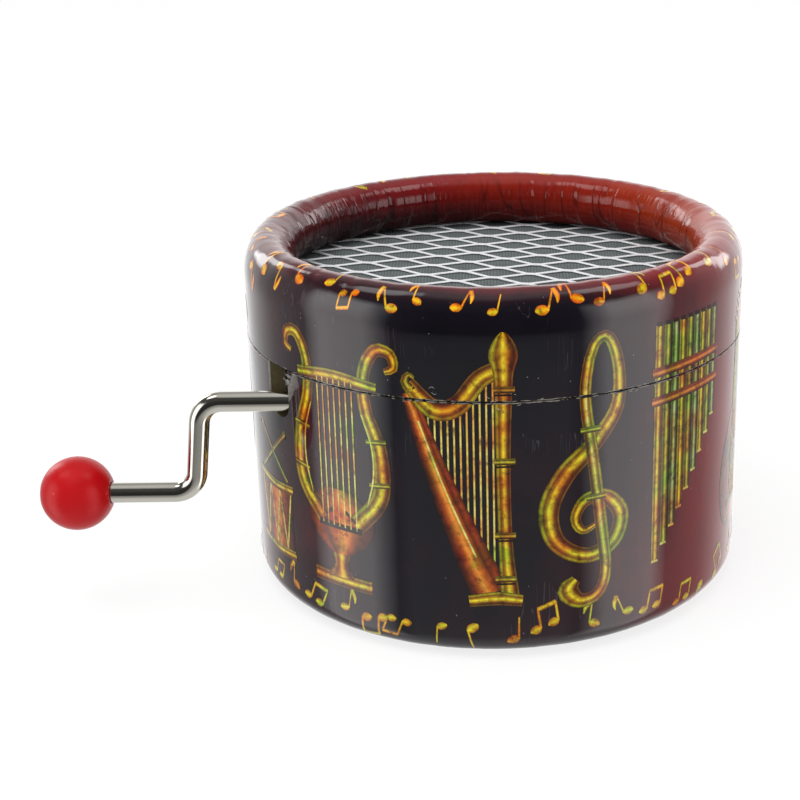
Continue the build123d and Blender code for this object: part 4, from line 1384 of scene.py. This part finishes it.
def grille_tree():
    tree, given = start_tree("expanded_mesh", GRILLE)
    path = node(tree, "GeometryNodeMeshToCurve", {"Mesh": given["Geometry"]})
    fine = node(tree, "GeometryNodeSubdivideCurve", {"Curve": path.outputs["Curve"], "Cuts": 7})
    spot = node(tree, "GeometryNodeInputPosition")
    apart = node(tree, "ShaderNodeVectorMath", {0: spot.outputs["Position"]},
                 operation="LENGTH")
    outside = node(tree, "FunctionNodeCompare",
                   {0: apart.outputs["Value"], 1: given["Radius"]},
                   data_type="FLOAT", operation="GREATER_THAN")
    kept = node(tree, "GeometryNodeDeleteGeometry",
                {"Geometry": fine.outputs["Curve"], "Selection": outside.outputs["Result"]},
                domain="POINT")
    section = node(tree, "GeometryNodeCurvePrimitiveQuadrilateral",
                   {"Width": given["Strand"], "Height": given["Thickness"]}, mode="RECTANGLE")
    rounded = node(tree, "GeometryNodeFilletCurve",
                   {"Curve": section.outputs["Curve"], "Radius": given["Edge"], "Count": 2},
                   mode="POLY")
    leaning = node(tree, "GeometryNodeSetCurveTilt",
                   {"Curve": kept.outputs["Geometry"], "Tilt": given["Lean"]})
    solid = node(tree, "GeometryNodeCurveToMesh",
                 {"Curve": leaning.outputs["Curve"], "Profile Curve": rounded.outputs["Curve"],
                  "Fill Caps": True})
    return finish_tree(tree, solid.outputs["Mesh"], MESH_METAL)


print("diamonds:", round(GRILLE["Long"] / MM, 2), "by", round(GRILLE["Short"] / MM, 2), "mm")


# %% The mesh of the grille
def grille_paths():
    """All the rows as one mesh of edges, turned as the disc lies in the lid."""
    rows = GRILLE["Rows"]
    long, short = GRILLE["Long"], GRILLE["Short"]
    whole = bmesh.new()
    for row in range(-rows // 2, rows // 2 + 1):
        line = zigzag_mesh(long, short, GRILLE["Strand"], GRILLE["Knuckle"], JOINTS_EACH_WAY,
                           row)
        line.transform(Matrix.Translation((0, (row + 0.5) * short / 2, 0)))
        whole.from_mesh(line)
        bpy.data.meshes.remove(line)
    mesh = bpy.data.meshes.new("grille_paths")
    whole.to_mesh(mesh)
    whole.free()
    mesh.transform(Matrix.Rotation(GRILLE_TURN, 4, "Z"))
    return mesh


mesh_grille = grow("mesh_grille", grille_tree(), GRILLE, grille_paths())
half_height = (GRILLE["Strand"] * math.sin(GRILLE["Lean"])
               + GRILLE["Thickness"] * math.cos(GRILLE["Lean"])) / 2
mesh_grille.data.transform(Matrix.Translation((0, 0, GRILLE_TOP * MM - half_height)))
mesh_grille.data.set_sharp_from_angle(angle=math.radians(60))
settle(mesh_grille, "lid", "mesh_metal", "grille")

# %% [markdown]
# ## The crank
# The crank is one piece of plated wire: a shaft through the wall, an arm, and a handle. The
# bends follow the wire's own path, so the path is a polyline with filleted corners and the
# wire is a round section swept along it.

# %% Crank tree
CRANK_PATH = [(2.2, CRANK_Y, CRANK_Z), (-39.2, CRANK_Y, CRANK_Z),
              (-40.65, CRANK_Y, HANDLE_Z), (-59.5, CRANK_Y, HANDLE_Z)]
BEND_RADIUS = 3.2


def wire_tree():
    tree, given = start_tree("bent_wire", {"Wire radius": WIRE_RADIUS * MM,
                                           "Bend radius": BEND_RADIUS * MM})
    path = node(tree, "GeometryNodeMeshToCurve", {"Mesh": given["Geometry"]})
    bent = node(tree, "GeometryNodeFilletCurve",
                {"Curve": path.outputs["Curve"], "Radius": given["Bend radius"], "Count": 24},
                mode="POLY")
    section = node(tree, "GeometryNodeCurvePrimitiveCircle",
                   {"Resolution": 40, "Radius": given["Wire radius"]}, mode="RADIUS")
    solid = node(tree, "GeometryNodeCurveToMesh",
                 {"Curve": bent.outputs["Curve"], "Profile Curve": section.outputs["Curve"],
                  "Fill Caps": True})
    return finish_tree(tree, solid.outputs["Mesh"], NICKEL)


crank_path = path_mesh("crank_path", [Vector(spot) * MM for spot in CRANK_PATH])
crank = grow("crank", wire_tree(), {}, crank_path)
crank.data.set_sharp_from_angle(angle=math.radians(50))
settle(crank, "crank", "nickel_wire", "crank_wire")

# %% [markdown]
# ## The ball knob
# The knob is a moulded ball of satin red plastic. It was cast in two halves, so a faint line
# runs round its middle, and both ends have a small flat: one round the wire, one where it was
# broken from the mould. A line of points turned about the handle makes it in one go.

# %% Plastic finish and the knob's line
KNOB_X = -56.75
KNOB_RADIUS, KNOB_HALF = 5.0, 4.6
BORE_RADIUS = 1.46
BORE_DEPTH = 7.6
BORE_CHAMFER = 0.12
MOULD_SEAM = 0.02      # how far the seam stands proud


def plastic_material():
    material, tree, shader = start_material("red_plastic", Specular_IOR_Level=0.28)
    grain = use(tree, GRAIN, Coarse_per_m=260.0, Fine_per_m=2600.0, Share_of_fine=0.4)
    tone = mix_colour(tree, grain, paint("#b60009"), paint("#ca020e"))
    lint = use(tree, DUST, Size_per_m=900.0, Amount=0.04)
    tree.links.new(mix_colour(tree, math_node(tree, "MULTIPLY", lint, 0.25), tone,
                              paint("#e9b7b4")), shader.inputs["Base Color"])
    tree.links.new(math_node(tree, "MULTIPLY_ADD", grain, 0.16, 0.27),
                   shader.inputs["Roughness"])
    bump(tree, shader, grain, 0.008)
    return material


def knob_line():
    """(along the handle, radius) from the blind end over the ball and into the bore."""
    flat = math.sqrt(KNOB_RADIUS ** 2 - KNOB_HALF ** 2)
    start = math.atan2(flat, -KNOB_HALF)
    end = math.atan2(flat, KNOB_HALF)
    line = [(-KNOB_HALF, 0.0), (-KNOB_HALF, flat * 0.6), (-KNOB_HALF, flat * 0.95)]
    steps = 64
    for i in range(steps + 1):
        turn = start + (end - start) * i / steps
        radius = KNOB_RADIUS + (MOULD_SEAM if i == steps // 2 else 0.0)
        line.append((radius * math.cos(turn), radius * math.sin(turn)))
    line += [(KNOB_HALF, BORE_RADIUS + BORE_CHAMFER), (KNOB_HALF - BORE_CHAMFER, BORE_RADIUS),
             (KNOB_HALF - BORE_DEPTH, BORE_RADIUS), (KNOB_HALF - BORE_DEPTH, 0.0)]
    return line


print("the ball's line has", len(knob_line()), "points")


# %% Knob
def turned(name, line, middle, steps):
    """A closed body turned about the X axis from (along, radius) points that start and end
    on the axis."""
    mesh = bmesh.new()
    rings = []
    for along, radius in line:
        if radius == 0.0:
            rings.append([mesh.verts.new((Vector((along, 0, 0)) + middle) * MM)])
            continue
        ring = []
        for i in range(steps):
            turn = 2 * math.pi * i / steps
            spot = Vector((along, radius * math.cos(turn), radius * math.sin(turn)))
            ring.append(mesh.verts.new((spot + middle) * MM))
        rings.append(ring)
    for low, high in zip(rings, rings[1:]):
        for i in range(steps):
            j = (i + 1) % steps
            corners = [low[i % len(low)], low[j % len(low)], high[j % len(high)],
                       high[i % len(high)]]
            mesh.faces.new(list(dict.fromkeys(corners)))
    bmesh.ops.recalc_face_normals(mesh, faces=mesh.faces)
    made = bpy.data.meshes.new(name)
    mesh.to_mesh(made)
    mesh.free()
    made.shade_smooth()
    return made


RED_PLASTIC = plastic_material()
knob_mesh = turned("knob_ball", knob_line(), Vector((KNOB_X, CRANK_Y, HANDLE_Z)), 96)
knob_mesh.set_sharp_from_angle(angle=math.radians(32))
knob_ball = add_piece("knob_ball", knob_mesh, RED_PLASTIC)
settle(knob_ball, "knob", "red_plastic", "knob")

# %% [markdown]
# ## Card, board and cloth
# What shows of the box's own material is raw cut card in the slot, under the lid and on the
# underside. Card is matte, with fibres at two scales.

# %% Card and cloth finishes
def card_material(name, colour, dark, rough):
    material, tree, shader = start_material(name, Roughness=rough, Specular_IOR_Level=0.2)
    fibres = use(tree, GRAIN, Coarse_per_m=350.0, Fine_per_m=2400.0, Share_of_fine=0.55)
    flecks = use(tree, DUST, Size_per_m=1500.0, Amount=0.18)
    tone = mix_colour(tree, fibres, paint(dark), paint(colour))
    tree.links.new(mix_colour(tree, math_node(tree, "MULTIPLY", flecks, 0.5), tone,
                              paint(dark)), shader.inputs["Base Color"])
    bump(tree, shader, fibres, 0.05)
    return material


def cloth_material():
    """Two crossed waves make the threads of a plain weave."""
    material, tree, shader = start_material("backing_cloth", Roughness=0.95,
                                            Specular_IOR_Level=0.1)
    spot = place_of(tree)
    warp = node(tree, "ShaderNodeTexWave", {"Vector": spot, "Scale": 700.0, "Distortion": 1.5,
                                            "Detail": 1.0}, bands_direction="X")
    weft = node(tree, "ShaderNodeTexWave", {"Vector": spot, "Scale": 700.0, "Distortion": 1.5,
                                            "Detail": 1.0}, bands_direction="Y")
    threads = math_node(tree, "MULTIPLY", warp.outputs["Fac"], weft.outputs["Fac"])
    fuzz = use(tree, GRAIN, Coarse_per_m=500.0, Fine_per_m=5000.0, Share_of_fine=0.6)
    mixed = math_node(tree, "ADD", math_node(tree, "MULTIPLY", threads, 0.5),
                      math_node(tree, "MULTIPLY", fuzz, 0.7))
    tree.links.new(ramp(tree, mixed, [(0.15, paint("#474d4e")), (0.9, paint("#828888"))]),
                   shader.inputs["Base Color"])
    bump(tree, shader, mixed, 0.05)
    return material


# painted shade: raw_card's dark olive is partly the card's own colour, partly the shade inside
# the slot
CARD = card_material("raw_card", "#6a5f45", "#3a3524", 0.9)
# painted shade: a darker copy of the card for the tube inside the box
SHADED_CARD = card_material("shaded_inner_card", "#4a4334", "#292620", 0.92)
BOARD = card_material("fibre_board", "#9c7a52", "#6d5233", 0.85)
CLOTH = cloth_material()
print("finishes:", ", ".join(m.name for m in (CARD, SHADED_CARD, BOARD, CLOTH)))

# %% [markdown]
# The tubes, boards and the whole movement have the right shape in the CAD model, so they stay
# as they are. Only their finish is set, and one table says which finish each takes.

# %% CAD nodes that keep their shape
FINISHES = [
    (CARD, ("base_tube", "lid_tube", "grille_ring")),
    (SHADED_CARD, ("neck_tube",)),
    (BOARD, ("bottom_board", "riser_block")),
    (CLOTH, ("grille_cloth",)),
    (BRASS, ("drum_shell", "drum_caps", "drum_gear", "worm", "shaft_collars")),
    (STEEL, ("bedplate", "drive_bracket", "arbor_post", "comb_anvil", "comb_screws",
             "bracket_screws", "board_screws", "board_nuts", "drum_arbor", "drum_pins")),
    (COMB_STEEL, ("comb",)),
    (LEAD, ("comb_weights",)),
    (NICKEL, ("shaft_clip",)),
]
for finish, names in FINISHES:
    for name in names:
        nodes[name].data.materials.clear()
        nodes[name].data.materials.append(finish)
print("finishes given to", sum(len(names) for _, names in FINISHES), "CAD nodes")

# %% [markdown]
# ## Light
# The box stands in a light tent, and what shines shows all of it. The room behind the camera is
# dark, two soft boxes stand left and right of it, a narrow strip light stands behind each
# shoulder, a lamp hangs over each side, and all that lies behind the box is white. Real lamps
# of these shapes would light the matte surfaces too. So the tent is a pattern of brightness
# over direction, which only glossy rays will see.

# %% Studio pattern
LAMP_AZIMUTH, LAMP_ELEVATION = math.radians(92), math.radians(60)
AZIMUTH_LEVELS = [(0.26, 0.004), (0.335, 0.36), (0.47, 0.36), (0.525, 0.055), (0.66, 0.075),
                  (0.77, 0.15), (0.86, 0.21)]     # 0 is in front of the box, 1 is behind it


def studio_pattern():
    """How bright the studio is in each direction, for what shines."""
    group = bpy.data.node_groups.new("studio_pattern", "ShaderNodeTree")
    group.interface.new_socket("Direction", in_out="INPUT", socket_type="NodeSocketVector")
    group.interface.new_socket("Level", in_out="OUTPUT", socket_type="NodeSocketFloat")
    given = node(group, "NodeGroupInput").outputs
    parts = node(group, "ShaderNodeSeparateXYZ", {"Vector": given["Direction"]}).outputs

    def combined(operation, *values):
        return math_node(group, operation, *values)

    def between(value, low, high, start=0.0, end=1.0):
        return node(group, "ShaderNodeMapRange",
                    {"Value": value, "From Min": low, "From Max": high, "To Min": start,
                     "To Max": end}).outputs["Result"]

    def blend(share, first, second):
        return node(group, "ShaderNodeMix", {"Factor": share, "A": first, "B": second},
                    data_type="FLOAT").outputs["Result"]

    side = combined("ABSOLUTE", parts["X"])
    away = combined("ARCTAN2", side, combined("MULTIPLY", parts["Y"], -1.0))
    right_shift = combined("MULTIPLY", combined("GREATER_THAN", parts["X"], 0.0), 0.045)
    azimuth = combined("ADD", combined("DIVIDE", away, math.pi), right_shift)
    height = combined("ARCSINE", parts["Z"])

    def by_height(low, high, start=0.0, end=1.0):
        return between(height, math.radians(low), math.radians(high), start, end)

    level = combined("MULTIPLY", ramp(group, azimuth, AZIMUTH_LEVELS), 6.0)
    upper = combined("MULTIPLY", combined("LESS_THAN", azimuth, 0.52),
                     by_height(-4, 12, 0.0, 0.3))
    level = combined("MULTIPLY", level, combined("ADD", upper, 1.0))
    floor_in_front = combined("MULTIPLY",
                              combined("ADD", by_height(-12, -20, 0.0, 0.26),
                                       by_height(-20, -52, 0.0, 0.36)),
                              between(azimuth, 0.30, 0.22))
    level = combined("ADD", level, floor_in_front)
    level = blend(by_height(23, 33), level, between(azimuth, 0.62, 0.85, 0.06, 0.42))
    level = blend(by_height(58, 72), level, 0.65)
    level = blend(by_height(-40, -60), level, 0.75)
    strip = combined("MULTIPLY", between(azimuth, 0.725, 0.745), between(azimuth, 0.815, 0.795))
    tall = combined("MULTIPLY", by_height(2, 7), by_height(42, 36, 0.0, 4.0))
    level = combined("ADD", level, combined("MULTIPLY", strip, tall))
    mirrored_way = node(group, "ShaderNodeCombineXYZ",
                        {"X": side, "Y": parts["Y"], "Z": parts["Z"]})
    lamp = Vector((math.sin(LAMP_AZIMUTH), -math.cos(LAMP_AZIMUTH),
                   math.tan(LAMP_ELEVATION))).normalized()
    near = node(group, "ShaderNodeVectorMath",
                {0: mirrored_way.outputs["Vector"], 1: tuple(lamp)},
                operation="DOT_PRODUCT").outputs["Value"]
    glow = between(near, math.cos(math.radians(14)), math.cos(math.radians(8)), 0.0, 2.6)
    node(group, "NodeGroupOutput", {"Level": combined("ADD", level, glow)})
    return group


STUDIO = studio_pattern()
print(STUDIO.name, "has", len(STUDIO.nodes), "nodes")

# %% [markdown]
# The world asks what kind of ray has come. A glossy ray gets the tent's pattern, the camera an
# even white, and a matte surface a plain level, at which colours render as they are written.

# %% World
def studio_world():
    world = bpy.data.worlds.new("studio")
    world.use_nodes = True
    tree = world.node_tree
    tree.nodes.clear()
    direction = node(tree, "ShaderNodeTexCoord").outputs["Generated"]
    pattern = node(tree, "ShaderNodeGroup", {"Direction": direction},
                   node_tree=STUDIO)
    rays = node(tree, "ShaderNodeLightPath").outputs
    shine = node(tree, "ShaderNodeBackground", {"Strength": pattern.outputs["Level"]})
    plain = node(tree, "ShaderNodeBackground", {"Strength": 0.75})
    white = node(tree, "ShaderNodeBackground", {"Strength": 1.0})
    for background in (shine, plain, white):
        background.inputs["Color"].default_value = (1, 1, 1, 1)
    shiny = math_node(tree, "MAXIMUM", rays["Is Glossy Ray"], rays["Is Transmission Ray"])
    lit = node(tree, "ShaderNodeMixShader",
               {"Fac": shiny, 1: plain.outputs[0], 2: shine.outputs[0]})
    seen = node(tree, "ShaderNodeMixShader",
                {"Fac": rays["Is Camera Ray"], 1: lit.outputs[0], 2: white.outputs[0]})
    node(tree, "ShaderNodeOutputWorld", {"Surface": seen.outputs[0]})
    bpy.context.scene.world = world
    return world


print("world:", len(studio_world().node_tree.nodes), "nodes")

# %% [markdown]
# ## Floor
# The floor is a white sweep. A bright real floor would throw its light up at the box and clip
# to white. This one is white to the camera, keeps the box's soft shadow, and lets glossy rays
# through to the tent's pattern.

# %% Floor
def floor_material():
    material = bpy.data.materials.new("white_sweep")
    material.use_nodes = True
    tree = material.node_tree
    tree.nodes.clear()
    rays = node(tree, "ShaderNodeLightPath").outputs
    glow = node(tree, "ShaderNodeEmission", {"Color": (1, 1, 1, 1), "Strength": 0.8})
    matte = node(tree, "ShaderNodeBsdfDiffuse", {"Color": (0.24, 0.24, 0.24, 1)})
    camera_side = node(tree, "ShaderNodeAddShader", {0: glow.outputs[0], 1: matte.outputs[0]})
    bounce = node(tree, "ShaderNodeBsdfDiffuse", {"Color": (0.8, 0.8, 0.8, 1)})
    through = node(tree, "ShaderNodeBsdfTransparent")
    shiny = math_node(tree, "MAXIMUM", rays["Is Glossy Ray"], rays["Is Transmission Ray"])
    other = node(tree, "ShaderNodeMixShader",
                 {"Fac": shiny, 1: bounce.outputs[0], 2: through.outputs[0]})
    whole = node(tree, "ShaderNodeMixShader",
                 {"Fac": rays["Is Camera Ray"], 1: other.outputs[0],
                  2: camera_side.outputs[0]})
    node(tree, "ShaderNodeOutputMaterial", {"Surface": whole.outputs[0]})
    return material


def floor_disc():
    mesh = bmesh.new()
    bmesh.ops.create_circle(mesh, cap_ends=True, segments=96, radius=3.0)
    made = bpy.data.meshes.new("floor")
    mesh.to_mesh(made)
    mesh.free()
    floor = add_piece("floor", made, floor_material())
    floor.location.z = -0.02 * MM


floor_disc()
print("floor is stage, not part of the box")

# %% [markdown]
# One broad lamp overhead gives the soft shadow under the box and the crank. Its own glare is
# switched off, because the tent's pattern already holds the lamps that the film shows.

# %% Lamp and view
def soft_lamp(name, place, size, power):
    data = bpy.data.lights.new(name, "AREA")
    data.shape = "DISK"
    data.size = size
    data.energy = power
    lamp = bpy.data.objects.new(name, data)
    bpy.context.scene.collection.objects.link(lamp)
    lamp.location = place
    lamp.rotation_euler = (Vector((0, 0, 0.02)) - Vector(place)).to_track_quat(
        "-Z", "Y").to_euler()
    lamp.visible_glossy = False
    return lamp


overhead = soft_lamp("overhead", (-0.15, -0.2, 0.6), 0.5, 1.6)
print("one lamp of", overhead.data.energy, "W")
scene = bpy.context.scene
scene.view_settings.view_transform = "Standard"
